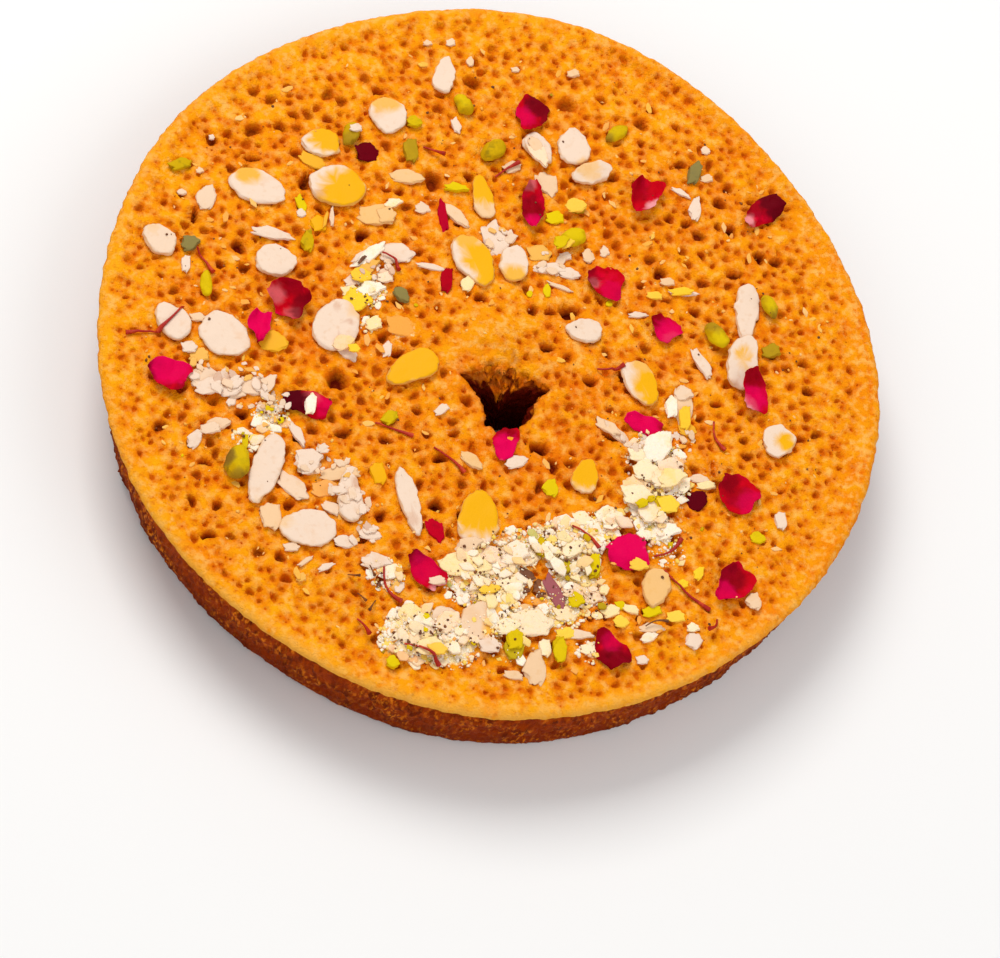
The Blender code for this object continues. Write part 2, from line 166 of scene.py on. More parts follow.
def makeGrainGroup():  # fine relief for a bump
    inputs = (("Coarse", floatKind, 400), ("Fine", floatKind, 1800))
    group, given, spots = startGroup("grain", inputs, "Height", floatKind)
    coarse = addNoise(group, spots, given["Coarse"], 3, 0.6)
    fine = addNoise(group, spots, given["Fine"], 2, 0.6)
    addNode(group, "NodeGroupOutput", {"Height": combined(group, "ADD", coarse, fine)})
    return group


mottleGroup = makeMottleGroup()
grainGroup = makeGrainGroup()
# paints: the colours that the red, green and blue of the paint attribute lay on
looks = {
    "crust": {
        "slot": "crust",
        "main": (0.96, 0.350, 0.003), "patch": (0.91, 0.250, 0.002), "speck": (0.66, 0.115, 0.001),
        "patchScale": 60, "patchAmount": 0.48, "speckScale": 560, "speckAmount": 0.75,
        "roughness": 0.60, "gloss": 0.03, "bump": 0.9, "bumpDistance": 0.0005, "grain": 1100,
        # the next line also sets a painted highlight for the ridges
        "gold": (0.97, 0.40, 0.004), "ridgeHighlight": (0.98, 0.50, 0.11), "toast": (0.86, 0.180, 0.002),
        # the next line holds painted shade, for the hollows between the webs and down the pores
        "hollowShade": (0.78, 0.150, 0.001), "pore": (0.53, 0.060, 0.001), "deep": (0.14, 0.007, 0.001),
        # the rim colour is a painted highlight along the lip
        "rim": (0.92, 0.42, 0.055), "dust": (0.97, 0.78, 0.42), "dustScale": 800,
        # the side wall is painted dark as shade, darker still at its foot, with painted highlights on its
        # crags
        "wall": (0.46, 0.062, 0.001), "wallShade": (0.110, 0.0095, 0.0005), "wallHighlight": (0.84, 0.22, 0.008),
        "wallStretch": (1, 1, 0.45),
        # soft patterns: scale, where each starts and is full, and its most
        "patterns": {
            "gold": (210, 0.50, 0.66, 0.75), "toast": (130, 0.30, 0.62, 1), "hollowShade": (330, 0.30, 0.60, 1),
            "ridgeHighlight": (480, 0.47, 0.66, 0.8), "rim": (300, 0.26, 0.54, 1),
            "wallShade": (560, 0.44, 0.60, 0.85), "wallHighlight": (900, 0.50, 0.64, 0.9),
            "wallPatch": (90, 0.36, 0.60, 1),
        },
    },
    "almond": {
        "slot": "almond",
        "main": (0.82, 0.63, 0.49), "patch": (0.80, 0.55, 0.38), "speck": (0.70, 0.40, 0.20),
        "patchScale": 120, "patchAmount": 0.42, "speckScale": 520, "speckAmount": 0.30,
        "roughness": 0.50, "gloss": 0.10, "bump": 0.22, "grain": 420,
        # stain, mark and edge
        "paints": ((0.84, 0.405, 0.001), (0.50, 0.15, 0.03), (0.80, 0.46, 0.16)),
    },
    "rosePetal": {
        "slot": "rose_petal",
        "main": (0.54, 0.0003, 0.008), "patch": (0.62, 0.0003, 0.022), "speck": (0.28, 0.0003, 0.005),
        "patchScale": 170, "patchAmount": 0.50, "speckScale": 330, "speckAmount": 0.6,
        "roughness": 0.60, "gloss": 0.03, "bump": 0.5, "grain": 380,
        # pale, dark and bright: the dark is painted shade and the bright a painted highlight
        "paints": ((0.85, 0.36, 0.38), (0.085, 0.0003, 0.005), (0.72, 0.0003, 0.082)),
    },
    "pistachio": {
        "slot": "pistachio",
        "main": (0.56, 0.335, 0.002), "patch": (0.68, 0.41, 0.003), "speck": (0.20, 0.13, 0.006),
        "patchScale": 190, "patchAmount": 0.48, "speckScale": 420, "speckAmount": 0.6,
        "roughness": 0.60, "gloss": 0.04, "bump": 0.35, "grain": 500,
        # light, skin and grey
        "paints": ((0.76, 0.56, 0.003), (0.17, 0.09, 0.02), (0.20, 0.19, 0.08)),
    },
    "milkCrumb": {
        "slot": "almond",
        "main": (0.97, 0.83, 0.66), "patch": (0.96, 0.74, 0.42), "speck": (0.88, 0.52, 0.14),
        "patchScale": 150, "patchAmount": 0.46, "speckScale": 900, "speckAmount": 0.25,
        "roughness": 0.65, "gloss": 0.1, "glow": 0.1, "bump": 0.3, "grain": 900,
        # yellow, green and fried
        "paints": ((0.95, 0.59, 0.012), (0.52, 0.46, 0.03), (0.88, 0.36, 0.05)),
    },
    "saffron": {
        "slot": "rose_petal",
        "main": (0.40, 0.010, 0.003), "patch": (0.60, 0.05, 0.006), "speck": (0.14, 0.006, 0.004),
        "patchScale": 250, "patchAmount": 0.5, "speckScale": 900, "speckAmount": 0.5,
        "roughness": 0.5, "gloss": 0.3, "bump": 0.3, "grain": 900,
    },
    "spiceSpeck": {
        "slot": "crust",
        "main": (0.150, 0.042, 0.010), "patch": (0.28, 0.085, 0.018), "speck": (0.03, 0.012, 0.006),
        "patchScale": 300, "patchAmount": 0.5, "speckScale": 900, "speckAmount": 0.4,
        "roughness": 0.55, "gloss": 0.3, "bump": 0.3, "grain": 900,
    },
}
crust = {
    "seed": 7,
    "radius": 0.1157, "height": 0.030,
    # lobes of the outline: how many, how high, and the angle of one crest
    "waves": ((1, 0.0010, 95), (3, 0.0005, -26), (4, 0.0006, -12), (5, 0.0006, -3), (6, 0.0003, 21)),
    "rimWidth": 0.0055, "bareEdge": 0.0036, "lipRise": 0.0012,
    "lipRoll": ((0.0007, 0.0009), (0.0018, 0.0002)),  # how far in and how far down its two rings lie
    "taper": 0.0045, "wallShift": (0.0015, -0.0020), "overhang": 0.0016, "wallTop": 0.94, "undercut": 0.86,
    "columns": 960, "wallRows": 20, "holeColumns": 150, "holeRows": 36, "undersideSpots": 800,
    "holeCentre": (0.003, -0.017), "holeReach": 0.0178, "holeClear": 0.0012,
    # the hole's lip, by angle in degrees and reach in millimetres: two arms and a point towards the front
    "holeLip": (
        (11, 10.0), (22, 14.2), (33, 12.6), (44, 11.3), (70, 11), (100, 11.5), (130, 12.4), (143, 13.0),
        (152, 16.2), (160, 11.8), (169, 9.6), (182, 8.0), (200, 7.2), (221, 7.8), (233, 10.6), (244, 9.6),
        (257, 10.9), (281, 10.4), (306, 8.9), (333, 8.8), (355, 8.4),
    ),
    "moundCentre": (-0.003, 0.004), "moundReach": 0.024, "moundRise": 0.0028,
    "pores": 1800, "finePores": 740, "web": 0.00050, "fill": 0.00130, "webRise": 0.00055, "poreCell": 0.006,
    "powderRise": 0.0008, "farDip": 0.0024, "seamInset": 0.0031, "seamWidth": 0.0006, "seamDepth": 0.0007,
    # the side, in degrees, where the lip's painted highlight is strongest
    "highlightSide": -101,
}


def crustColours(tree, last, look):
    # tone holds painted shade for the pores, the hollows and the hole in red, the painted highlight along
    # the lip in green, the wall, painted dark as shade, in blue, and the powder in alpha
    tone = addNode(tree, "ShaderNodeAttribute", attribute_name="tone").outputs
    split = addNode(tree, "ShaderNodeSeparateColor", {"Color": tone["Color"]}).outputs
    relief = addNode(tree, "ShaderNodeAttribute", attribute_name="relief").outputs["Fac"]  # 1 on the ridges
    toast = addNode(tree, "ShaderNodeAttribute", attribute_name="toast").outputs["Fac"]
    place = addNode(tree, "ShaderNodeTexCoord").outputs["Object"]
    stretch = {0: place, 1: look["wallStretch"]}
    upright = addNode(tree, "ShaderNodeVectorMath", stretch, operation="MULTIPLY").outputs[0]

    def pattern(name, spots=place):
        scale, low, high, most = look["patterns"][name]
        return ranged(tree, addNoise(tree, spots, scale), low, high, most)

    def times(first, second):
        return combined(tree, "MULTIPLY", first, second)

    last = mixed(tree, pattern("gold"), last, look["gold"])
    # fried colour, with painted shade in the rim seam's groove
    last = mixed(tree, times(toast, pattern("toast")), last, look["toast"])
    # painted shade in the hollows between the webs
    hollows = ranged(tree, relief, 0.85, 0.30, 0.85)
    last = mixed(tree, times(hollows, pattern("hollowShade")), last, look["hollowShade"])
    # a painted highlight on the ridges
    last = mixed(tree, times(pattern("ridgeHighlight"), relief), last, look["ridgeHighlight"])
    # the painted highlight along the lip
    last = mixed(tree, times(split["Green"], pattern("rim")), last, look["rim"])
    # the powder closes up where it lies thick
    powder = combined(tree, "SUBTRACT", times(tone["Alpha"], 1.5), addNoise(tree, place, look["dustScale"]))
    last = mixed(tree, ranged(tree, powder, 0, 0.30), last, look["dust"])
    # painted shade: the wall darker towards its foot and in upright streaks
    height = addNode(tree, "ShaderNodeSeparateXYZ", {"Vector": place}).outputs["Z"]
    foot = ranged(tree, height, crust["height"] * 0.95, crust["height"] * -0.10)
    wall = mixed(tree, foot, look["wall"], look["wallShade"])
    wall = mixed(tree, pattern("wallShade", upright), wall, look["wallShade"])
    # painted highlights on the wall's crags
    streaks = times(pattern("wallHighlight", upright), pattern("wallPatch"))
    wall = mixed(tree, times(streaks, relief), wall, look["wallHighlight"])
    last = mixed(tree, split["Blue"], last, wall)
    # painted shade down the pores, in the wall's hollows and in the hole
    return mixed(tree, split["Red"], last, mixed(tree, split["Red"], look["pore"], look["deep"]))


def foodMaterial(name, look):  # a mottled food surface; look names its colours, sizes and gloss
    material = bpy.data.materials.new(name)
    material.use_nodes = True
    tree = material.node_tree
    shader = tree.nodes["Principled BSDF"].inputs
    shader["Roughness"].default_value = look["roughness"]
    shader["Specular IOR Level"].default_value = look["gloss"]
    shader["Subsurface Weight"].default_value = look.get("glow", 0)
    shader["Subsurface Radius"].default_value = (0.004, 0.002, 0.001)
    shader["Subsurface Scale"].default_value = 0.3
    mottle = {
        "Main": look["main"], "Patch": look["patch"], "Speck": look["speck"],
        "Patch Scale": look["patchScale"], "Patch Amount": look["patchAmount"],
        "Speck Scale": look["speckScale"], "Speck Amount": look["speckAmount"],
    }
    last = addNode(tree, "ShaderNodeGroup", mottle, node_tree=mottleGroup).outputs["Color"]
    if name == "crust":
        last = crustColours(tree, last, look)
    if "paints" in look:
        paint = addNode(tree, "ShaderNodeAttribute", attribute_name="paint").outputs["Color"]
        split = addNode(tree, "ShaderNodeSeparateColor", {"Color": paint}).outputs
        for channel, laidOn in zip(("Red", "Green", "Blue"), look["paints"]):
            last = mixed(tree, split[channel], last, laidOn)
    grain = addNode(tree, "ShaderNodeGroup", {"Coarse": look["grain"]}, node_tree=grainGroup)
    bump = {
        "Strength": look["bump"], "Distance": look.get("bumpDistance", 0.0003),
        "Height": grain.outputs["Height"],
    }
    feed(tree, shader["Normal"], addNode(tree, "ShaderNodeBump", bump).outputs["Normal"])
    feed(tree, shader["Base Color"], last)
    return material


materials = {name: foodMaterial(name, look) for name, look in looks.items()}
print("materials made:", len(materials))

# the larger pores that can be told apart: x, y, half length and half width in millimetres, turn in degrees
namedPores = (
    (-73, 65, 2.6, 2.3, 20), (-68, 76, 1.9, 1.4, 0), (-65, 67, 2.0, 1.6, 0), (-60, 67, 1.5, 1.3, 0),
    (-57, 72, 1.9, 1.5, -60), (-51, 80, 2.4, 1.7, 80), (-73, 78, 1.6, 1.4, 0), (-63, 81, 1.5, 1.2, 0),
    (-79, 51, 1.6, 1.3, 0), (-73, 55, 2.6, 1.0, 5), (-57, 49, 3.2, 1.7, 85), (-89, 34, 2.8, 1.1, 85),
    (-86, 29, 1.5, 1.3, 0), (-76, 25, 2.6, 1.9, -30), (-60, 58, 1.9, 1.3, -30), (-51, 71, 1.6, 1.3, 0),
    (-74, 18, 2.0, 1.6, 0), (-57, 18, 2.1, 1.3, 10), (-52, 21, 1.7, 1.0, 20), (-94, 8, 1.6, 1.3, 0),
    (-89, 5, 1.5, 1.1, -20), (-98, 37, 1.2, 1.1, 0), (-85, 60, 2.0, 1.8, 0), (-40, 33, 2.3, 2.0, 60),
    (-33, 0, 1.9, 1.4, 80), (-29, -5, 2.2, 1.2, 15), (-46, -15, 3.7, 2.9, 80), (-50, -9, 1.6, 1.2, 10),
    (-39, -21, 1.6, 1.5, 0), (-23, -23, 1.6, 1.2, 0), (-5, 15, 1.9, 1.5, 0), (15, 1, 2.2, 1.5, 0),
    (16, 13, 2.2, 1.0, 5), (-22, 8, 1.2, 1.1, 0), (22, 14, 3.6, 1.8, 20), (33, 2, 2.0, 1.3, -60),
    (38, -5, 1.8, 1.3, 80), (28, -8, 2.0, 1.6, 0), (50, 31, 2.3, 1.9, 0), (63, 29, 2.1, 1.5, 0),
    (73, 33, 2.8, 1.2, 5), (52, 22, 1.7, 0.9, 0), (87, 21, 1.4, 1.2, 0), (93, 5, 1.6, 1.3, 0),
    (88, 3, 1.6, 1.2, 0), (94, -4, 2.0, 1.5, 0), (61, -16, 1.6, 1.2, 0), (91, -20, 2.0, 1.1, 10),
    (96, -18, 2.0, 1.2, 10), (66, -11, 1.8, 1.1, 0), (84, -8, 1.3, 1.1, 0), (75, -27, 1.9, 1.5, 0),
    (34, -25, 2.6, 1.0, -15), (22, 86, 2.8, 2.6, 0), (45, 82, 2.3, 1.8, 0), (45, 75, 1.4, 1.2, 0),
    (33, 89, 1.6, 1.4, 0), (69, 57, 2.2, 2.0, 0), (72, 48, 2.2, 2.0, 0), (81, 40, 2.3, 1.8, 80),
    (86, 39, 2.4, 1.4, 0), (62, 45, 2.2, 1.7, 0), (53, 43, 1.3, 1.3, 0), (57, 39, 1.6, 1.3, 0),
    (47, 35, 1.9, 1.5, 0), (38, 46, 1.8, 1.2, 0), (50, 48, 1.6, 1.1, 0), (52, 62, 1.5, 1.2, 80),
    (36, 62, 2.2, 1.4, 0), (34, 55, 1.7, 1.0, 10), (30, 51, 1.4, 1.1, 0), (24, 60, 1.6, 1.1, 10),
    (57, 69, 2.2, 1.5, 0), (66, 70, 2.4, 1.2, 80), (-47, 78, 1.9, 1.6, 0), (-36, 83, 1.9, 1.5, 0),
    (-40, 87, 1.6, 1.5, 0), (-7, 90, 2.6, 2.2, 0), (-17, 84, 1.8, 0.9, 0), (-4, 78, 1.3, 1.0, 0),
    (-8, 57, 1.7, 1.4, 0), (-19, 54, 3.8, 2.4, 85), (-27, 44, 1.7, 1.5, 0), (-33, 49, 1.5, 0.8, 0),
    (-96, -35, 2.3, 1.7, 15), (-73, -29, 2.0, 1.7, 0), (-77, -33, 1.2, 1.1, 0), (-57, -35, 1.6, 1.3, 0),
    (-53, -32, 1.8, 1.6, 0), (-44, -32, 2.8, 1.5, 5), (-43, -26, 1.9, 1.4, 0), (-85, -49, 1.5, 1.3, 0),
    (-86, -57, 1.9, 1.2, -70), (-79, -58, 1.7, 1.3, 80), (-81, -67, 2.3, 1.3, 5), (-75, -67, 1.7, 1.2, 0),
    (-67, -71, 1.9, 1.6, -30), (-61, -72, 1.6, 1.6, 0), (-59, -56, 1.8, 1.5, 0), (-83, -45, 2.0, 1.0, -10),
    (-80, -42, 1.8, 1.2, 80), (-17, -52, 2.4, 2.0, 20), (-22, -46, 1.7, 1.3, 80), (-32, -33, 2.3, 1.3, 5),
    (-33, -57, 2.2, 1.6, 30), (-16, -37, 2.2, 1.6, 0), (-23, -35, 1.3, 1.0, 0), (-12, -29, 1.8, 1.0, 10),
    (13, -43, 2.4, 1.4, 80), (10, -52, 2.0, 1.2, 30), (-20, -30, 1.6, 1.2, 0), (13, -31, 3.0, 1.9, -30),
    (17, -36, 2.4, 1.7, -60), (22, -35, 2.2, 1.1, 0),
)
# a pore's rings from its lip in, by the most that its half length is: scale, drop, share of depth, points
poreShapes = (
    (0.0007, ((1.25, 0, 0, 6), (0.6, 0, 0.7, 5))),
    (0.0014, ((1.20, 0.00003, 0, 9), (0.92, 0.00025, 0.12, 8), (0.58, 0, 0.85, 6))),
    (0.0100, ((1.15, 0.00004, 0, 12), (0.96, 0.00025, 0.10, 11), (0.78, 0, 0.65, 9), (0.45, 0, 1.0, 6))),
)
# the next three: x, y, reach in millimetres and strength
toasted = (  # where the face was fried darker
    (37, 27, 15, 0.9), (19, 6, 12, 0.8), (19, -11, 10, 0.9), (37, -9, 12, 0.8), (1, -31, 12, 0.9),
    (19, -29, 13, 0.9), (-16, -66, 11, 0.7), (-52, -2, 14, 0.8), (-52, 17, 13, 0.7), (-85, 12, 11, 0.6),
    (-82, -24, 12, 0.6), (75, 50, 13, 0.7), (-17, 40, 14, 0.8), (-17, 22, 12, 0.8), (-51, -36, 13, 0.5),
    (71, -75, 10, 0.6), (34, -95, 8, 0.6), (20, 82, 12, 0.5), (38, 46, 13, 0.7), (-5, -8, 10, 0.5),
    (60, -20, 12, 0.5), (-60, 60, 13, 0.4), (56, 72, 12, 0.3), (92, 12, 10, 0.4), (96, 15, 4, 1.0),
    (10, -43, 8, 1.0),
)
drifts = (  # where the white crumbs lie thick
    (-23, -92, 8, 1.0), (-28, -94, 5, 0.8), (-12, -94, 7, 0.8), (-18, -93, 7, 0.9), (-5, -69, 6, 0.5),
    (5, -64, 7, 0.5), (15, -60, 6, 0.7), (22, -61, 8, 0.7), (28, -56, 6, 0.6), (33, -53, 4.5, 0.8),
    (43, -47, 5, 0.7), (46, -40, 6, 0.6), (47, -31, 8, 0.6), (18, -80, 7, 0.6), (26, -77, 6, 0.35),
    (23, -71, 7, 0.6), (0, -73, 9, 0.7), (-8, -76, 6, 0.7), (5, -93, 6, 0.3), (2, -85, 8, 0.6),
    (47, -53, 5, 0.8), (53, -40, 4, 0.5), (50, -60, 5, 0.25), (-65, -29, 5, 0.5), (-72, -37, 4, 0.3),
    (-38, 14, 5, 0.5), (-31, -75, 5, 0.4), (27, -92, 4, 0.3), (-37, 4, 3, 0.3),
)
dustings = (  # fainter ones
    (-12, -29, 7, 0.32), (-14, -22, 5, 0.30), (-27, 2, 7, 0.34), (17, 17, 5, 0.26), (-38, 28, 6, 0.32),
    (50, 28, 6, 0.30), (40, 17, 6, 0.28), (-62, -8, 6, 0.30), (24, 66, 6, 0.26), (-20, 48, 6, 0.26),
    (63, -32, 6, 0.30), (54, -48, 6, 0.32),
)


def wavedRadius(angle):
    lobes = (rise * math.cos(n * (angle - math.radians(crest))) for n, rise, crest in crust["waves"])
    return crust["radius"] + sum(lobes)


def edgeGap(x, y):
    return wavedRadius(math.atan2(y, x)) - math.hypot(x, y)


def lipReach(angle):
    turn = math.degrees(angle) % 360
    stops = crust["holeLip"]
    stops = ((stops[-1][0] - 360, stops[-1][1]),) + stops + ((stops[0][0] + 360, stops[0][1]),)
    for (before, near), (after, far) in zip(stops, stops[1:]):
        if before <= turn < after:
            return (near + (far - near) * smoothStep(before, after, turn)) * mm


def holePoint(angle, scale):
    x, y = crust["holeCentre"]
    reach = lipReach(angle) * scale * (1 + 0.05 * bumps(math.cos(angle), math.sin(angle), 3, 0.25))
    return Vector((x + reach * math.cos(angle), y + reach * math.sin(angle)))


def fromHole(x, y):  # distance and angle from the middle of the hole
    x, y = x - crust["holeCentre"][0], y - crust["holeCentre"][1]
    return math.hypot(x, y), math.atan2(y, x)


def farLip(x, y, back, reach):  # a soft oval this far behind the middle of the hole
    x, y = x - crust["holeCentre"][0], y - crust["holeCentre"][1]
    return hump(math.hypot((x - 0.001) * 0.6, y - back), 0, reach)


def strongest(spots, x, y, low, high):  # the strongest of some round spots here
    return max(
        strength * (1 - smoothStep(low, high, math.hypot(x / mm - spotX, y / mm - spotY) / reach))
        for spotX, spotY, reach, strength in spots
    )


def driftShare(x, y):  # how much of the face is dusted white here, from 0 to 1
    return strongest(drifts, x, y, 0.5, 1.3)


def dustShare(x, y):  # the drifts, and a faint dusting in patches elsewhere
    patchy = smoothStep(0.15, 0.75, bumps(x, y, 9, 0.011))
    patchy = 0.20 * patchy * smoothStep(0.108, 0.095, math.hypot(x, y))
    return max(driftShare(x, y), strongest(dustings, x, y, 0.3, 1.2), patchy)


def moundShare(x, y):
    x, y = x - crust["moundCentre"][0], y - crust["moundCentre"][1]
    return math.exp(-(x**2 + y**2) / crust["moundReach"] ** 2)


def rightShare(x, y):
    return smoothStep(0.2, 0.9, math.cos(math.atan2(y, x) - 0.1))


def bareReach(x, y, narrow=0.5):  # how far in from the lip the face has no pores: widest at the right
    turn = math.degrees(math.atan2(y, x))
    wider = 0.45 * hump(turn, 5, 40) - 0.10 * hump(turn, -84, 24)
    return crust["bareEdge"] * (1 + wider - narrow * hump(turn, -150, 34))


def lipHighlight(x, y):  # a painted highlight along the lip, strongest at the front
    facing = math.cos(math.atan2(y, x) - math.radians(crust["highlightSide"]))
    reach = 0.75 * bareReach(x, y) * (1 + 0.8 * bumps(x, y, 0, 0.004))
    strength = 0.22 - 0.20 * rightShare(x, y) + 0.70 * smoothStep(0.25, 1.0, facing)
    return strength * (1 - smoothStep(0.05 * reach, 1.9 * reach, edgeGap(x, y)))


def rimSeam(x, y):  # a faint line that parts a smooth band from the rest of the face, at the right; its groove is also painted darker, as shade
    line = hump(edgeGap(x, y), crust["seamInset"], crust["seamWidth"])
    line *= smoothStep(0.1, 0.6, math.cos(math.atan2(y, x) - math.radians(-5)))
    return line * smoothStep(-0.7, 0.2, bumps(x, y, 6, 0.009))


# how dark the face is fried: the middle more than the rim band, the listed patches and the right-hand edge;
# with painted shade in the rim seam's groove
def toastAndShadeShare(x, y):
    out = math.hypot(x, y)
    right = 0.45 * rightShare(x, y) * smoothStep(0.098, 0.109, out)
    fried = 0.88 * strongest(toasted, x, y, 0.4, 1.3)
    return max(0.28 * smoothStep(0.105, 0.080, out), right, rimSeam(x, y), fried)


def faceHeight(x, y):
    out = math.hypot(x, y)
    radius, rimWidth, rise = crust["radius"], crust["rimWidth"], crust["lipRise"]
    rim = smoothStep(radius - 1.5 * rimWidth, radius - 0.4 * rimWidth, out)
    groove = 0.0006 * hump(out - radius, -1.1 * rimWidth, 0.0014)
    mound = moundShare(x, y)
    seam = rimSeam(x, y)
    ripple = 0.0005 * math.sin(x / 0.015 + 1) * math.cos(y / 0.019)
    rough = (0.00032 + 0.00065 * mound) * bumps(x, y, 0, 0.0055)
    rough += (0.00014 + 0.00025 * mound) * bumps(x, y, 4, 0.0018)
    level = crust["height"] - rise + crust["moundRise"] * mound + ripple * (1 - rim) + rise * rim
    level = level + rough * (1 - 0.35 * rim) * (1 - 0.4 * seam) - groove * smoothStep(-0.02, 0.05, x)
    powder = crust["powderRise"] * driftShare(x, y) * (0.8 + 0.5 * bumps(x, y, 7, 0.0024))
    return level + powder - crust["farDip"] * farLip(x, y, 0.0105, 0.0052) - crust["seamDepth"] * seam


def poresNear(grid, x, y):
    i, j = int(x // crust["poreCell"]), int(y // crust["poreCell"])
    for key in [(i + u, j + v) for u in (-1, 0, 1) for v in (-1, 0, 1)]:
        yield from grid.get(key, ())


def scatterPores(rng):  # centre, half sizes, turn, depth and painted shade of each pore
    pores = []
    grid = {}

    def tryPore(x, y, a, b, turn, web, faint=0.42):
        for otherX, otherY, otherA, otherB, *_ in poresNear(grid, x, y):
            if math.hypot(otherX - x, otherY - y) < (otherA + otherB + a + b) / 2 + web:
                return
        depth = (a + b) / 2 * rng.uniform(0.9, 1.8) if b > 0.0006 else rng.uniform(0.0003, 0.0007)
        # painted shade, more in the larger pores and less towards the back
        paintedShade = min(0.12 + 0.44 * (a + b) / 2 / 0.001, 1) * rng.uniform(faint, 1)
        pore = (x, y, a, b, turn, depth, paintedShade * (1 - 0.25 * smoothStep(0.045, 0.10, y)))
        cell = (int(x // crust["poreCell"]), int(y // crust["poreCell"]))
        grid.setdefault(cell, []).append(pore)
        pores.append(pore)

    for x, y, a, b, turn in namedPores:
        tryPore(x * mm, y * mm, a * mm, b * mm, math.radians(turn), 0, 0.85)
    for most, sizes in (
        (crust["pores"] * 0.26, (0.0012, 0.0018)), (crust["pores"], (0.0007, 0.00125)),
        (crust["pores"] + crust["finePores"], (0.00035, 0.0006)),
    ):
        for _ in range(int(most) * 25):
            if len(pores) >= most:
                break
            out = crust["radius"] * math.sqrt(rng.random())
            angle = rng.uniform(0, math.tau)
            x, y = out * math.cos(angle), out * math.sin(angle)
            size = rng.uniform(*sizes)
            edge = (wavedRadius(angle) - out) / bareReach(x, y, 0)
            if edge < 1.5 and size > 0.00075 or edge < 0.9 or edge < 1.3 and rng.random() < 0.4:
                continue
            if edge < 4.0:
                size *= 0.80
            away, turn = fromHole(x, y)
            if away < lipReach(turn) + crust["holeClear"] + size:
                continue
            if rng.random() < moundShare(x, y) * 0.85 and size > 0.0006:
                continue
            tryPore(x, y, size, size * rng.uniform(0.6, 1), rng.uniform(0, math.pi), crust["web"])
    return pores, grid


def poreRings(rng, pore):  # plan points, drop and depth share of one pore, from its lip in to its floor
    x, y, a, b, turn, depth, paintedShade = pore
    rings = next(rings for most, rings in poreShapes if a < most)
    lobes = (rng.uniform(0, math.tau), rng.uniform(0, math.tau))
    start = rng.uniform(0, math.tau)
    points = []
    for k, (scale, drop, share, count) in enumerate(rings):
        for i in range(count):
            angle = start + math.tau * (i + 0.5 * (k % 2)) / count
            waver = 1 + 0.13 * math.cos(2 * angle + lobes[0]) + 0.13 * math.cos(3 * angle + lobes[1])
            waver += rng.uniform(-0.07, 0.07)
            u, v = a * scale * waver * math.cos(angle), b * scale * waver * math.sin(angle)
            spotX = x + u * math.cos(turn) - v * math.sin(turn)
            spotY = y + u * math.sin(turn) + v * math.cos(turn)
            # painted shade, deepening down the pore, with a faint ring at the lip
            shade = share * paintedShade + (0.20 if drop > 0.0001 else 0.06)
            points.append((spotX, spotY, drop + share * depth, shade, share > 0))
    points.append((x, y, depth, paintedShade, True))
    return points


# no operator gives a honeycomb, so the crust's points are set by rule and joined up
class Shell:
    def __init__(self):
        self.verts, self.tones, self.reliefs, self.toasts, self.faces = [], [], [], [], []

    # pore carries painted shade, and rim the painted highlight along the lip
    def add(self, x, y, z, pore=0.0, rim=0.0, wall=0.0, dust=0.0, relief=0.85):
        self.verts.append((x, y, z))
        self.tones.append((pore, rim, wall, dust))
        self.reliefs.append(relief)
        self.toasts.append(0 if wall else toastAndShadeShare(x, y))
        return len(self.verts) - 1

    def join(self, first, second):
        for i in range(len(first)):
            j = (i + 1) % len(first)
            self.faces.append((first[i], second[i], second[j], first[j]))

    def span(self, outer, hole, spots, turned=False):  # triangles between two rings, through loose points
        points = [Vector(spot[:2]) for spot in spots]
        loops = []
        for ring in (outer, hole):
            first = len(points)
            points += [Vector(self.verts[k][:2]) for k in ring]
            loops += [(first + i, first + (i + 1) % len(ring)) for i in range(len(ring))]
        made = delaunay_2d_cdt(points, loops, [], 0, 1e-7)
        known = [self.add(*spot) for spot in spots] + outer + hole
        index = [known[origins[0]] for origins in made[3]]
        onOuter, onHole = set(outer), set(hole)
        for triangle in made[2]:
            corners = [index[k] for k in triangle]
            places = [self.verts[k][:2] for k in corners]
            middle = [sum(place[axis] for place in places) / 3 for axis in (0, 1)]
            bulges = math.hypot(*middle) > min(math.hypot(*place) for place in places)
            if onHole.issuperset(corners) or onOuter.issuperset(corners) and bulges:
                continue
            self.faces.append(tuple(corners[::-1] if turned else corners))


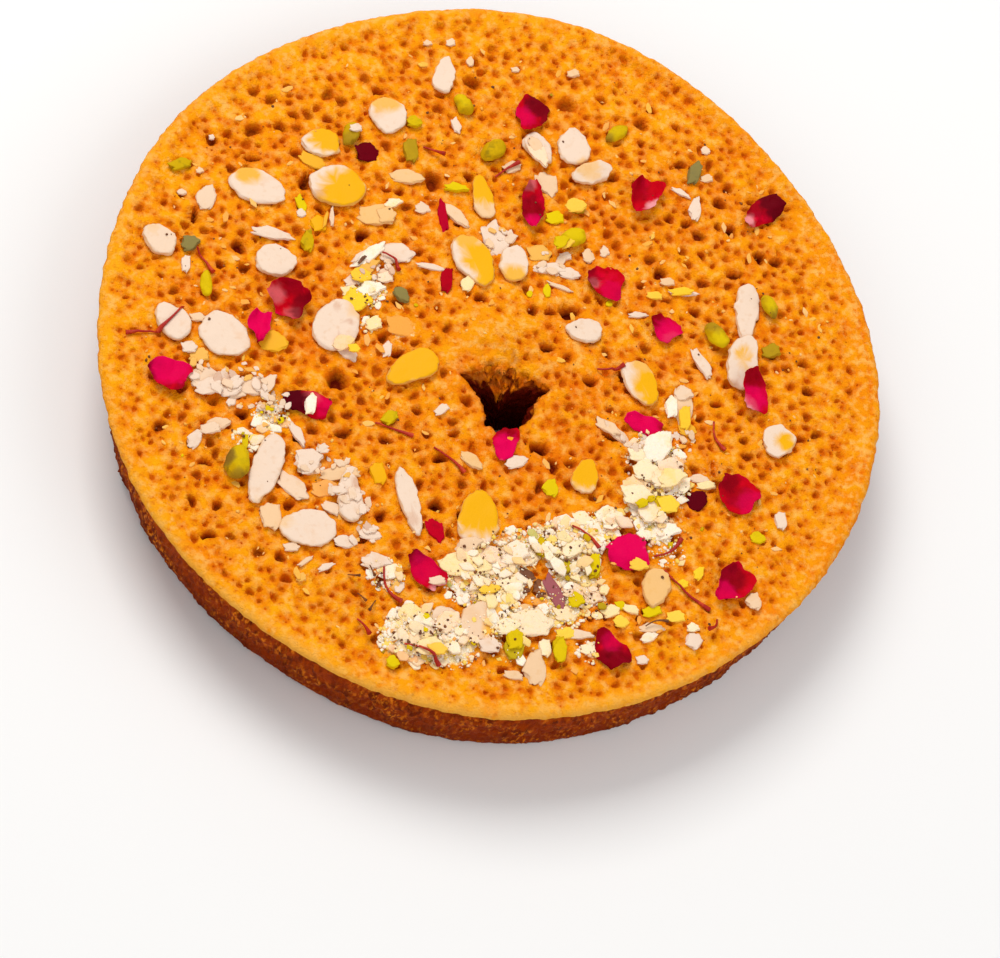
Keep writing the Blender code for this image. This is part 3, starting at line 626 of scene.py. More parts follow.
def makeWall(shell):  # crags and hollows taller than they are wide, then the lip's roll on to the face
    angles = [math.tau * i / crust["columns"] for i in range(crust["columns"])]
    rings = []
    for row in range(crust["wallRows"] + 1):
        share = row / crust["wallRows"]
        z = crust["height"] * crust["wallTop"] * share
        drop = 1 - z / crust["height"]
        under = hump(share, crust["undercut"], 0.10) + 0.5 * (share < crust["undercut"])
        inset = crust["taper"] * (1 - share) ** 0.8 * 0.9 + crust["overhang"] * under
        inset += 0.0010 * smoothStep(0.12, 0, share)
        calm = (smoothStep(1.0, 0.84, share) * 0.9 + 0.10) * (0.35 + 0.65 * smoothStep(0, 0.22, share))
        # the share of the side wall's colour, which is painted dark as shade
        brown = smoothStep(0.975, 0.85, share)
        ring = []
        for angle in angles:
            u, v = math.cos(angle), math.sin(angle)
            p, q = u * crust["radius"], v * crust["radius"]
            cell = noise.voronoi(Vector((p, q, z * 0.7)) / 0.0024)[0][0]
            rough = (min(cell, 0.9) - 0.42) * -0.0014
            rough += bumps(p, q, z * 0.6, 0.0013) * 0.0006
            rough += bumps(p, q, z + 1, 0.012) * 0.0008
            lip = bumps(p, q, 2.0, 0.0035) * 0.00042 + bumps(p, q, 5.0, 0.0014, 1) * 0.00016
            radius = wavedRadius(angle) - inset + rough * calm + lip * smoothStep(0.8, 1.0, share)
            lift = 0 if row == 0 else bumps(p, q, z + 3, 0.0025, 1) * 0.0006 * calm
            # painted shade in the hollows between the crags
            hollow = smoothStep(0.0002, -0.0009, rough) * 0.7
            x, y = radius * u + crust["wallShift"][0] * drop, radius * v + crust["wallShift"][1] * drop
            # the painted highlight along the lip, fading out down the wall
            highlight = (1 - brown) * lipHighlight(p, q)
            ring.append(shell.add(x, y, max(z + lift, 0), hollow * brown, highlight, brown, 0, 1 - hollow))
        rings.append(ring)
    for lower, upper in zip(rings, rings[1:]):
        shell.join(upper, lower)
    top = rings[-1]
    for inset, drop in crust["lipRoll"]:
        ring = []
        for k in top:
            x, y = shell.verts[k][:2]
            keep = 1 - inset / math.hypot(x, y)
            x, y = x * keep, y * keep
            z = faceHeight(x, y) - drop + bumps(x, y, 0, 0.002) * 0.0002
            ring.append(shell.add(x, y, z, 0, lipHighlight(x, y)))
        shell.join(ring, rings[-1])
        rings.append(ring)
    return rings[0], rings[-1]


def makeThroat(shell):  # the hole's far side slopes in, and a crusty tongue hangs from it
    rows, columns = crust["holeRows"], crust["holeColumns"]
    rings = []
    for row in range(rows + 1):
        share = (row / rows) ** 0.55
        depth = 1 - share
        inner = 0 < row < rows
        ring = []
        for column in range(columns):
            angle = math.tau * column / columns
            turn = math.degrees(angle)
            far = hump(turn, 92, 42)
            lean = hump(turn, 72, 17)
            tongue = lean * hump(depth, 0.20, 0.10)
            slope = 0.12 * smoothStep(0, 0.25, depth)
            scale = 1 - slope - 0.58 * far * smoothStep(-0.02, 0.34, depth) - 0.14 * tongue
            u, v = holePoint(angle, max(scale, 0.12))
            level = (faceHeight(u, v) - 0.0004) * share
            rough = bumps(u, v, level, 0.0030) * 0.17 + bumps(u, v, level, 0.0013) * 0.17
            x, y = holePoint(angle, max(scale + rough * (0.4 + 0.6 * far) * inner, 0.12))
            z = level + bumps(u, v, level + 1, 0.0015) * (0.0006 + 0.0012 * far) * inner
            patchy = (0.05 + 0.17 * far) * bumps(u, v, level + 2, 0.0016)
            # painted shade, darker down into the hole and most on its far side
            paintedShade = smoothStep(-0.03, 0.10 + 0.26 * far * (1 - 0.5 * lean), depth + patchy)
            ring.append(shell.add(x, y, max(z, 0) if row else 0, paintedShade, 0, 0, 0, 0.3))
        rings.append(ring)
    for lower, upper in zip(rings, rings[1:]):
        shell.join(lower, upper)
    return rings[0], rings[-1]


def facePoints(rng):  # the pores, then loose points between them that stand up as webs
    pores, grid = scatterPores(rng)
    points = []
    for pore in pores:
        dusted = driftShare(*pore[:2])
        if dusted > 0.45 and rng.random() < dusted:
            continue
        base, dust = faceHeight(*pore[:2]), dustShare(*pore[:2])
        for x, y, drop, paintedShade, inside in poreRings(rng, pore):
            z = (base if inside else faceHeight(x, y)) - drop
            points.append((x, y, z, paintedShade, 0, 0, 0 if inside else dust, 0 if inside else 0.35))

    fill, radius, bareEdge = crust["fill"], crust["radius"], crust["bareEdge"]
    columns = int(radius / fill) + 2
    rows = int(columns * 1.2)
    for j in range(-rows, rows + 1):
        for i in range(-columns, columns + 1):
            x = (i + 0.5 * (j % 2) + rng.uniform(-0.28, 0.28)) * fill
            y = (j * 0.866 + rng.uniform(-0.25, 0.25)) * fill
            out = math.hypot(x, y)
            away, turn = fromHole(x, y)
            if out > wavedRadius(math.atan2(y, x)) - bareEdge:
                continue
            if away < crust["holeReach"] and away < lipReach(turn) * 1.06 + 0.0006:
                continue
            gaps = [0.004]
            for otherX, otherY, a, b, *_ in poresNear(grid, x, y):
                gaps.append(math.hypot(otherX - x, otherY - y) - 0.6 * a - 0.4 * b)
            near = min(gaps)
            if near < 0.00052:
                continue
            web = smoothStep(0.0002, 0.0022, near)
            rim = smoothStep(radius - 1.3 * bareEdge, radius - 0.8 * bareEdge, out)
            z = faceHeight(x, y) + crust["webRise"] * (web - 0.5) * (1 - 0.6 * rim)
            # painted shade on the slope that dips into the hole at its far side
            farSlopeShade = 0.5 * farLip(x, y, 0.0130, 0.0060) * smoothStep(-0.10, 0.40, bumps(x, y, 1, 0.0020))
            points.append((x, y, z, farSlopeShade, lipHighlight(x, y), 0, dustShare(x, y), 0.3 + 0.7 * web))

    for degrees in range(-68, 60):  # two lines of points carry the seam inside the right-hand rim
        for inset in (crust["seamInset"] - crust["seamWidth"], crust["seamInset"]):
            turn = math.radians(degrees + rng.uniform(-0.2, 0.2))
            reach = wavedRadius(turn) - inset
            x, y = reach * math.cos(turn), reach * math.sin(turn)
            points.append((x, y, faceHeight(x, y), 0, lipHighlight(x, y), 0, dustShare(x, y), 0.8))
    return points


def undersidePoints(rng):
    spots = []
    while len(spots) < crust["undersideSpots"]:
        out, angle = 0.105 * math.sqrt(rng.random()), rng.uniform(0, math.tau)
        spot = Vector((out * math.cos(angle), out * math.sin(angle)))
        if (spot - Vector(crust["holeCentre"])).length > 0.016:
            spots.append(spot)
    return [(x, y, 0.0005 * rng.random(), 0.3 * rng.random(), 0, 1) for x, y in spots]


def makeCrust():
    rng = random.Random(crust["seed"])
    shell = Shell()
    foot, lip = makeWall(shell)
    holeFoot, holeLip = makeThroat(shell)
    shell.span(lip, holeLip, facePoints(rng))
    shell.span(foot, holeFoot, undersidePoints(rng), True)
    verts = [(x + faceShift[0], y + faceShift[1], z) for x, y, z in shell.verts]
    piece = meshObject("honeycombCrust", verts, shell.faces)
    paintMesh(piece, "tone", shell.tones)
    for name, values in (("relief", shell.reliefs), ("toast", shell.toasts)):
        layer = piece.data.attributes.new(name, "FLOAT", "POINT")
        layer.data.foreach_set("value", np.array(values, np.float32))
    select(piece)
    editAll()
    bpy.ops.mesh.quads_convert_to_tris()
    bpy.ops.mesh.normals_make_consistent(inside=False)
    bpy.ops.object.mode_set(mode="OBJECT")
    finish(piece, "crust")
    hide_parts("ghewar")
    return piece


crustPiece = makeCrust()
print("crust:", len(crustPiece.data.polygons), "triangles")

# paint on the large toppings, a group for each of the three colours: x, y, reach in millimetres, strength
almondPaint = (
    (
        (-45, 46, 8, 1), (-50, 41, 5, 0.9), (-42, 52, 4, 1), (-51, 64, 6, 1), (-74, 49, 4, 0.9),
        (-34, 79, 5, 0.8), (-4, 53, 7, 1), (-3, 45, 4, 0.4), (-5, 28, 6, 1), (-2, 21, 5, 1),
        (-9, 34, 4, 0.9), (5, 23, 4, 0.9), (-22, -8, 9, 1), (-29, -12, 6, 1), (46, -8, 6, 1),
        (44, -1, 4, 0.8), (48, -14, 4, 1), (74, 5, 2.6, 0.85), (76, -1, 2, 0.4), (86, -22, 3, 1),
        (-5, -53, 9, 1), (-5, -47, 7, 1), (26, -37, 7, 1), (2, -82, 4, 0.8), (0, -89, 4, 0.9),
        (46, -72, 8, 0.62), (-3, -86, 10, 0.22), (-99, 24, 7, 0.1), (28, 63, 4, 0.5), (-42, -6, 3, 0.8),
        (-101, 27, 2, 0.3), (-40, 8, 4, 0.4), (50, -31, 4, 0.4), (-36, 42, 5, 1), (-64, -60, 6, 0.35),
    ),
    (
        (-47, 8, 1.2, 0.3), (-43, 3, 1.0, 0.4), (-46, -3, 1.2, 0.3), (46, -35, 2, 0.7), (46, -41, 2, 0.6),
        (-53, 44, 2, 0.3), (-40, -48, 2, 0.4), (-24, -58, 2, 0.3), (71, -5, 2, 0.4),
    ),
    (),
)
# where the petals are painted pale, with painted shade and with painted highlight
petalPaint = (
    (
        (48, 51, 3, 0.9), (76, 51, 3, 0.7), (-65, 9, 3, 0.25), (-60, 4, 2.5, 0.2), (-71, 3, 3, 0.2),
        (-54, -23, 3, 0.2), (53, 8, 3, 0.6), (75, -12, 3, 0.7), (44, -60, 3, 0.8), (-16, -79, 3, 0.8),
        (3, -36, 3, 0.5), (10, 55, 2, 0.3), (29, 24, 2, 0.3),
    ),
    (
        (13, 84, 5, 0.8), (16, 79, 3, 0.7), (86, 58, 6, 0.9), (79, 56, 4, 0.5), (-56, 6, 5, 0.7),
        (-60, 13, 4, 0.5), (-61, -24, 7, 1), (68, -67, 5, 0.6), (34, -96, 6, 0.7), (29, -88, 4, 0.6),
        (67, -36, 5, 0.6), (71, -41, 4, 0.4), (-100, -18, 4, 0.8), (-90, -24, 3, 0.5), (10, 47, 5, 0.6),
        (8, 54, 3, 0.5), (77, -3, 4, 0.5), (-24, -68, 4, 0.7), (42, 58, 5, 0.4), (27, 26, 4, 0.5),
        (47, 14, 4, 0.6), (3, -28, 3, 0.5), (-68, -6, 3, 0.5), (-73, -1, 2, 0.4), (50, -21, 3, 0.5),
        (39, 20, 4, 0.4), (12, 76, 3, 0.3),
    ),
    (
        (-69, 0, 6, 1), (-94, -17, 6, 0.9), (3, -33, 5, 1), (38, -62, 8, 1), (43, -20, 6, 0.9),
        (52, 10, 5, 0.9), (77, -9, 4, 0.8), (-50, -25, 3, 0.6), (8, 79, 4, 0.6), (66, -72, 4, 0.7),
        (-20, -72, 5, 0.5), (11, 42, 3, 0.9), (35, 22, 4, 0.5), (75, -43, 4, 0.5), (33, -90, 3, 0.4),
    ),
)
pistachioPaint = (
    (
        (-85, 11, 5, 0.6), (-11, 82, 3, 0.5), (23, 41, 6, 0.7), (66, 8, 3, 0.7), (84, 22, 3, 0.5),
        (37, 77, 3, 0.4), (-73, -44, 4, 0.4),
    ),
    (
        (-78, -44, 3, 0.8), (-74, -51, 3, 0.5), (-44, 63, 3, 0.4), (86, 19, 3, 0.6), (66, 14, 3, 0.4),
        (33, 74, 3, 0.5), (-14, 80, 2, 0.5),
    ),
    (),
)
# ripples: axis, size of the waves and how far they push
toppings = {
    "almond_slice": {
        "name": "almondSlice", "count": 31, "kind": "almond", "flatAngle": 4, "inset": 0.0005,
        "edgeShare": 0.5,
        "ripples": (
            ("X", 0.0036, 0.0016), ("Y", 0.0036, 0.0016), ("X", 0.0012, 0.0008), ("Y", 0.0012, 0.0008),
            ("Z", 0.0050, 0.0006),
        ),
        "paint": almondPaint,
    },
    "pistachio": {
        "name": "pistachio", "count": 9, "kind": "pistachio", "flatAngle": 4, "inset": 0, "edgeShare": 0,
        "ripples": (("X", 0.0030, 0.0014), ("Y", 0.0030, 0.0014), ("Z", 0.0026, 0.0014)),
        "paint": pistachioPaint,
    },
    "rose_petal": {
        "name": "rosePetal", "count": 18, "kind": "rosePetal", "flatAngle": 0, "inset": 0, "edgeShare": 0,
        "ripples": (
            ("X", 0.0060, 0.0026), ("Y", 0.0060, 0.0026), ("X", 0.0022, 0.0016), ("Y", 0.0022, 0.0016),
            ("Z", 0.0060, 0.0030), ("Z", 0.0018, 0.0009),
        ),
        "paint": petalPaint,
    },
}
rippleTextures = {}
for axis, basis in (("X", "BLENDER_ORIGINAL"), ("Y", "ORIGINAL_PERLIN"), ("Z", "IMPROVED_PERLIN")):
    rippleTextures[axis] = bpy.data.textures.new("ripple" + axis, "CLOUDS")
    rippleTextures[axis].noise_basis = basis
    rippleTextures[axis].noise_depth = 1


def paintPiece(piece, paints, edgeShare):  # edgeShare goes on what faces sideways, in the third colour
    colours = np.zeros((len(piece.data.vertices), 4), np.float32)
    spots = np.array([(v.co.x - faceShift[0], v.co.y - faceShift[1]) for v in piece.data.vertices]) / mm
    slopes = np.array([v.normal.z for v in piece.data.vertices])
    ragged = np.array([noise.noise(Vector((x, y, 0)) / 1.7) for x, y in spots])
    for channel, blobs in enumerate(paints):
        for x, y, reach, strength in blobs:
            out = np.hypot(spots[:, 0] - x, spots[:, 1] - y) / reach + ragged * 0.30
            share = np.clip((1.15 - out) / 0.40, 0, 1) * strength
            colours[:, channel] = np.maximum(colours[:, channel], share)
    colours[:, 2] = np.maximum(colours[:, 2], edgeShare * (slopes < 0.6))
    paintMesh(piece, "paint", colours)


def addSmoothing(obj, levels):
    smooth = obj.modifiers.new("smooth", "SUBSURF")
    smooth.levels = smooth.render_levels = levels
    bpy.ops.object.modifier_apply(modifier=smooth.name)


def addRipple(piece, axis, size, strength):  # pushes the piece's points to and fro along one axis
    ripple = piece.modifiers.new("ripple", "DISPLACE")
    ripple.texture = rippleTextures[axis]
    ripple.texture.noise_scale = size
    ripple.texture_coords = "LOCAL"
    ripple.direction = axis
    ripple.strength = strength
    bpy.ops.object.modifier_apply(modifier=ripple.name)


def growTopping(nodeName, pieceName, look):  # from a copy of its solid
    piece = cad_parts[nodeName].copy()
    piece.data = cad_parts[nodeName].data.copy()
    piece.name = piece.data.name = pieceName
    for key in list(piece.keys()):
        del piece[key]
    piece.parent = None
    bpy.context.scene.collection.objects.link(piece)
    select(piece)
    editAll()
    bpy.ops.mesh.remove_doubles(threshold=0.00001)
    if look["flatAngle"]:
        bpy.ops.mesh.dissolve_limited(angle_limit=math.radians(look["flatAngle"]))
    else:
        bpy.ops.mesh.tris_convert_to_quads(face_threshold=math.radians(60), shape_threshold=math.radians(60))
    bpy.ops.mesh.select_all(action="DESELECT")
    bpy.ops.object.mode_set(mode="OBJECT")
    if look["inset"]:
        for face in piece.data.polygons:
            face.select = len(face.vertices) > 6
        bpy.ops.object.mode_set(mode="EDIT")
        bpy.ops.mesh.inset(thickness=look["inset"], use_boundary=True, use_individual=True)
        bpy.ops.object.mode_set(mode="OBJECT")
    addSmoothing(piece, 2)
    for ripple in look["ripples"]:
        addRipple(piece, *ripple)
    return piece


grown = []
for kind, look in toppings.items():
    for number in range(1, look["count"] + 1):
        piece = growTopping(f"{kind}_{number:02d}", f"{look['name']}{number:02d}", look)
        paintPiece(piece, look["paint"], look["edgeShare"])
        finish(piece, look["kind"])
        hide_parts(f"{kind}_{number:02d}")
        grown.append(piece)
print("large toppings:", len(grown))

# a grid of heights, on which the small toppings come to rest
heap = {"cell": 0.0005, "reach": 0.118, "lowest": 0.02, "levelShare": 0.7, "depth": 0.004}


def cellOf(value):
    return int((value + heap["reach"]) / heap["cell"])


def makeHeapHeights():  # the heights of the crust alone, and with the large toppings
    side = cellOf(heap["reach"])
    tops = np.full((side, side), -1.0)
    for piece in [crustPiece] + grown:
        corners = [v.co for v in piece.data.vertices]
        tree = BVHTree.FromPolygons(corners, [tuple(f.vertices) for f in piece.data.polygons])
        spots = np.array([(c.x, c.y) for c in corners])
        low = ((spots.min(0) + heap["reach"]) / heap["cell"]).astype(int)
        high = ((spots.max(0) + heap["reach"]) / heap["cell"]).astype(int) + 1
        for i in range(max(low[0], 0), min(high[0], side)):
            x = (i + 0.5) * heap["cell"] - heap["reach"]
            for j in range(max(low[1], 0), min(high[1], side)):
                y = (j + 0.5) * heap["cell"] - heap["reach"]
                hit = tree.ray_cast(Vector((x, y, 0.1)), Vector((0, 0, -1)))[0]
                if hit is not None and hit.z > tops[i, j]:
                    tops[i, j] = hit.z
        if piece is crustPiece:
            bare = tops.copy()
    return bare, tops


bareTops, heapTops = makeHeapHeights()
print("height map made")


def rest(x, y, radius, rise, sink):  # where a bit comes to lie; it then counts as part of the heap
    columns = slice(cellOf(x - radius), cellOf(x + radius) + 1)
    rows = slice(cellOf(y - radius), cellOf(y + radius) + 1)
    window = heapTops[columns, rows]
    if window.size == 0:
        return None
    level = np.sort(window, axis=None)[int(window.size * heap["levelShare"])]
    if level < heap["lowest"]:
        return None
    z = level - sink
    np.maximum(window, min(z + rise, level + rise), out=window, where=window > level - heap["depth"])
    return z


def shapeBit(name, primitive, spread, seed, levels=0, fitted=True):  # a bit, of which copies are strewn
    primitive()
    bit = bpy.context.object
    bit.name = name
    editAll()
    bpy.ops.transform.vertex_random(offset=spread, seed=seed)
    bpy.ops.object.mode_set(mode="OBJECT")
    if levels:
        addSmoothing(bit, levels)
        for axis, strength in (("X", 0.45), ("Y", 0.45), ("Z", 0.25)):
            addRipple(bit, axis, 0.5, strength)
    editAll()
    bpy.ops.mesh.quads_convert_to_tris()
    bpy.ops.object.mode_set(mode="OBJECT")
    corners = np.array([v.co for v in bit.data.vertices])
    corners -= (corners.max(0) + corners.min(0)) / 2
    if fitted:
        corners /= np.ptp(corners, axis=0) / (2, 2, 1)
    faces = np.array([tuple(f.vertices) for f in bit.data.polygons])
    bpy.data.objects.remove(bit, do_unlink=True)
    return corners, faces


def ball():
    bpy.ops.mesh.primitive_ico_sphere_add(subdivisions=1, radius=1)


def brokenSlice(sides):  # a flat flake with the corners that a slice breaks to
    def shape():
        bpy.ops.mesh.primitive_circle_add(vertices=sides, radius=1, fill_type="NGON")
        editAll()
        bpy.ops.transform.vertex_random(offset=0.42, seed=sides * 7)
        bpy.ops.transform.resize(value=(1, 1, 0))
        bpy.ops.mesh.extrude_region_move(TRANSFORM_OT_translate={"value": (0, 0, 1)})
        bpy.ops.mesh.select_all(action="SELECT")
        bpy.ops.mesh.normals_make_consistent(inside=False)
        bpy.ops.mesh.bevel(offset=0.14, segments=1)
        bpy.ops.object.mode_set(mode="OBJECT")

    return shape


crumbBits = [shapeBit(f"crumb{k}", ball, 0.35, 20 + k, fitted=False) for k in range(5)]
flakeBits = [shapeBit(f"flake{k}", brokenSlice(4 + k % 4), 0.10, 100 + k) for k in range(10)]
sliceBits = [shapeBit(f"slice{k}", brokenSlice(5 + k % 4), 0.05, 80 + k, 2) for k in range(8)]
print("bits shaped:", len(crumbBits + flakeBits + sliceBits))


def strew(name, bits, places, kind, colours):
    # places: x, y, z, half length, half width, height, turn and lean; colours: the paint on each
    verts, faces, paints = [], [], []
    count = 0
    for k, (x, y, z, a, b, c, turn, lean) in enumerate(places):
        corners, triangles = bits[k % len(bits)]
        spin = Matrix.Rotation(turn, 3, "Z") @ Matrix.Rotation(lean, 3, "Y")
        verts.append((corners * (a, b, c)) @ np.array(spin).T + (x, y, z))
        faces.append(triangles + count)
        count += len(corners)
        if colours:
            paints += [(*colours[k], 1)] * len(corners)
    piece = meshObject(name, np.concatenate(verts).tolist(), np.concatenate(faces).tolist())
    if colours:
        paintMesh(piece, "paint", paints)
    return finish(piece, kind)


# chips fused to the disc in the model: x, y, length and width in millimetres, and turn in degrees
almondChips = (
    (-30, 28, 12, 7, -5), (-36, 40, 11, 8, -10), (9, -84, 10, 8, 15), (11, -99, 11, 7, 85),
    (-84, -19, 11, 7, 5), (-70, -20, 9, 7, -15), (-86, 40, 9, 6, 80), (-66, 30, 14, 4, -3),
    (33, -22, 9, 4, -35), (-64, -60, 9, 7, 80), (-80, -33, 8, 4, 20), (-86, -38, 7, 4, 60),
    (-54, -43, 8, 7, 0), (-34, -44, 7, 5, 90), (-7, -37, 8, 4, -30), (75, -73, 6, 5, 80),
    (57, -87, 6, 5, 50), (84, -47, 6, 4, 80), (56, -13, 14, 6, -85), (61, 54, 9, 4, 80), (-87, 0, 5, 3, 0),
    (62, 2, 11, 4, -65), (-27, 54, 11, 5, 0), (-38, 22, 9, 4, 45), (-53, 35, 6, 5, 90), (-91, 17, 6, 3, 80),
    (-12, 43, 11, 4, -40), (16, 57, 9, 7, -60), (-12, 74, 6, 3, -75), (24, 97, 4, 3, 0), (22, 27, 7, 4, 0),
    (-57, -34, 9, 3, -60),
)
pistachioChips = (
    (-94, 50, 8, 4, 25), (-26, 63, 8, 5, 85), (-25, 73, 5, 4, 5), (-12, 52, 8, 3, 0), (28, -68, 7, 4, 85),
    (20, -68, 5, 4, 0), (-29, -101, 4, 4, 0), (-56, 29, 8, 4, 85), (-31, -26, 6, 4, 40),
    (48, -46, 6, 5, 90), (-28, 14, 6, 4, -40), (-90, 24, 6, 5, 30), (61, 66, 9, 4, 70), (83, 8, 6, 5, 5),
    (5, -94, 8, 6, 80), (13, -62, 7, 4, 80), (25, 50, 5, 4, 0), (18, -93, 8, 4, 85),
)
petalScraps = (
    (-16, 42, 12, 3, 97), (-15, 20, 9, 4, 78), (59, -43, 7, 6, 60), (-17, -60, 8, 5, -60),
    (-39, 61, 8, 7, 5), (43, -56, 5, 2, -60),
)
wiltedPetals = ((17, -76, 13, 4.5, -65),)
# both ends of each thread, in millimetres
saffronThreads = (
    (-98, -6, -107, -7), (-91, 3, -98, -6), (-34, 27, -29, 22), (-88, 22, -83, 15), (-22, 65, -16, 62),
    (0, 58, 7, 63), (30, -4, 38, -2), (-35, -28, -24, -31), (-18, -34, -9, -41), (22, -55, 30, -61),
    (46, -62, 54, -56), (49, -66, 62, -77), (65, -17, 68, -26), (-26, -96, -16, -101), (-39, -89, -36, -94),
    (-32, -73, -27, -83), (64, -80, 61, -84),
)
darkStrands = (
    (-34, -83, -36, -87), (-39, -81, -37, -84), (43, -84, 49, -83), (-42, -76, -39, -77),
    (-36, -73, -35, -77),
)
# thinner flakes, too small for the model, laid out as the chips are
brownSkins = (
    (9, -71, 6, 2.6, -35), (12, -74, 5, 2.2, 70), (8, -76, 4, 2, 10), (13, -77, 3, 1.6, 30),
    (-33, -78, 3, 1.2, 60), (-40, 24, 4, 1.2, 50),
)
almondFlakes = (
    (-75, -22, 7, 5, 10), (-86, -12, 6, 5, 0), (-65, -5, 9, 7, 0), (-43, -6, 7, 5, -40),
    (-32, -4, 6, 3, 80), (-38, 17, 6, 5, 0), (-42, 18, 7, 4, 30), (-33, 20, 5, 5, 0), (-40, 26, 9, 2, 45),
    (-33, 40, 6, 6, 0), (-55, 56, 9, 5, -30), (-19, 24, 11, 2, -3), (-22, 44, 5, 4, 0), (0, 36, 14, 8, -75),
    (16, 28, 11, 4, 0), (28, 34, 4, 5, 0), (33, 36, 3, 4, 0), (19, 22, 9, 1.5, -15), (65, 65, 4, 3, 0),
    (65, 75, 3, 3, 0), (57, 59, 7, 2, -30), (5, 62, 6, 4, 20), (52, 28, 5, 3, 0), (57, 25, 10, 2, 5),
    (43, 16, 7, 2, 10), (13, 33, 8, 6, 0), (21, 33, 4, 3, 0), (12, 69, 7, 4, -60), (-54, -42, 9, 8, 40),
    (-58, -50, 12, 6, -45), (-45, -45, 12, 5, 5), (-43, -66, 7, 4, 0), (-48, -74, 6, 2, 30),
    (-58, -69, 5, 3, 0), (-47, -56, 6, 4, -40), (-36, -63, 7, 4, 0), (-34, -71, 9, 5, 0),
    (-54, -73, 6, 1.5, 40), (-55, -78, 3, 3, 0), (-30, -74, 7, 5, 0), (-24, -86, 8, 6, 0),
    (-15, -86, 8, 6, 30), (-8, -64, 9, 5, 30), (0, -67, 14, 8, 5), (-10, -70, 10, 6, -10),
    (4, -75, 9, 6, 0), (8, -72, 6, 4, 0), (41, -41, 9, 7, -5), (46, -29, 11, 8, 70), (51, -34, 9, 7, 0),
    (36, -24, 11, 3.5, -35), (44, -36, 9, 7, 0), (55, -39, 6, 4, 60), (-83, -22, 8, 6, 0),
    (-77, -22, 7, 5, 20), (-66, -19, 7, 4, 60), (-89, -10, 5, 4, 0), (-82, -35, 6, 4, 0),
    (60, -36, 6, 3, 0), (45, -84, 8, 3, 0), (42, -94, 4, 3, 0), (5, -102, 6, 3, -10), (6, -36, 8, 4, 30),
    (25, -52, 6, 5, 0), (32, -50, 7, 5, 20), (21, -63, 6, 5, 0), (28, -76, 6, 5, 0), (20, -82, 8, 5, 0),
    (24, -88, 9, 3, 0), (27, -92, 6, 4, 0), (-2, -94, 7, 5, 0), (-25, -97, 6, 4, 0), (48, -38, 7, 5, 30),
    (41, -31, 6, 5, 0), (9, -66, 7, 5, 20), (-17, -76, 5, 3, 0), (54, -29, 5, 4, 0), (-58, 38, 3, 3, 0),
    (-49, 38, 7, 1.5, 90), (-51, 36, 6, 1.2, 80), (-43, 67, 4, 3, 0), (-93, 41, 3, 2, 0),
    (-88, 49, 2.5, 2, 0), (-85, 61, 2, 2, 0), (-14, 103, 3, 3, 0), (-8, 97, 4, 2.5, 90),
    (-21, 102, 3, 2, 0), (6, 96, 3, 2, 0), (-16, -22, 5, 3, 30), (57, -20, 6, 5, 0), (56, -9, 6, 5, 0),
)
tanFlakes = (
    (-28, 4, 10, 7, -10), (-49, -50, 8, 6, 0), (-8, -75, 9, 3, 10), (13, -79, 5, 3, 0),
)
creamFlakes = (  # smooth and white, laid on top of the drifts and beside the slices
    (10, -86, 13, 9, 0), (5, -65, 9, 7, 15), (-9, -70, 16, 8, 5), (-22, -92, 10, 8, 20),
    (-14, -88, 9, 6, 40), (14, -93, 6, 4, 80), (47, -28, 12, 8, 60), (51, -38, 9, 6, 20),
    (41, -44, 11, 7, -5), (34, -52, 8, 6, 20), (22, -62, 8, 5, 40), (23, -75, 8, 5, 0),
    (-38, 26, 14, 4, 45), (-33, 19, 5, 4, 0), (-45, -4, 7, 5, 30), (13, 66, 10, 5, -60),
    (-54, -25, 8, 3.5, 80), (62, -38, 6, 3, 0), (44, -49, 8, 6, 80), (49, -54, 10, 6, 10),
    (52, -14, 8, 4, 85), (-19, -96, 8, 6, 0), (3, -88, 8, 5, 20), (-37, 15, 9, 5, 20), (-43, 14, 6, 4, 0),
    (-36, 4, 5, 5, 0), (-9, 19, 6, 4, 70), (-31, 44, 6, 3, 20), (33, -80, 6, 4, 20), (39, -79, 5, 3, -20),
    (44, -87, 6, 3, 30), (57, -83, 4, 3, 0), (31, -74, 4, 3, 60),
)
yellowFlakes = (
    (50, -46, 7, 6, 0), (56, -17, 8, 4, 80), (24, 50, 7, 5, 20), (21, 36, 5, 3, 30), (56, 25, 8, 3, 5),
    (48, 23, 5, 3, -10), (-40, 19, 7, 5, 0), (-41, 11, 9, 8, 10), (-42, -6, 4, 3, 0), (20, -88, 6, 4, 0),
    (-2, -77, 7, 3, 20), (41, -66, 6, 4, 0), (-17, -97, 6, 4, 0), (52, -80, 6, 4, 0), (36, -83, 5, 4, 10),
    (59, -66, 5, 3, 60), (54, -70, 4, 3, 20),
)
greenFlakes = (
    (-58, 41, 7, 3, -70), (18, 46, 6, 5, 0), (15, 20, 5, 2.5, 90), (23, -78, 5, 5, 0), (36, -78, 4, 3, 0),
    (-72, -38, 6, 2, 80), (77, -53, 5, 4, 0), (16, -43, 6, 5, 80), (42, -47, 4, 3, 20), (45, -79, 6, 4, 10),
    (18, -94, 8, 4, 85), (19, 36, 6, 4, 40), (5, -92, 7, 5, 80), (28, -67, 7, 4, 80), (-66, -27, 4, 2, 0),
    (-62, -30, 3, 2, 40),
)
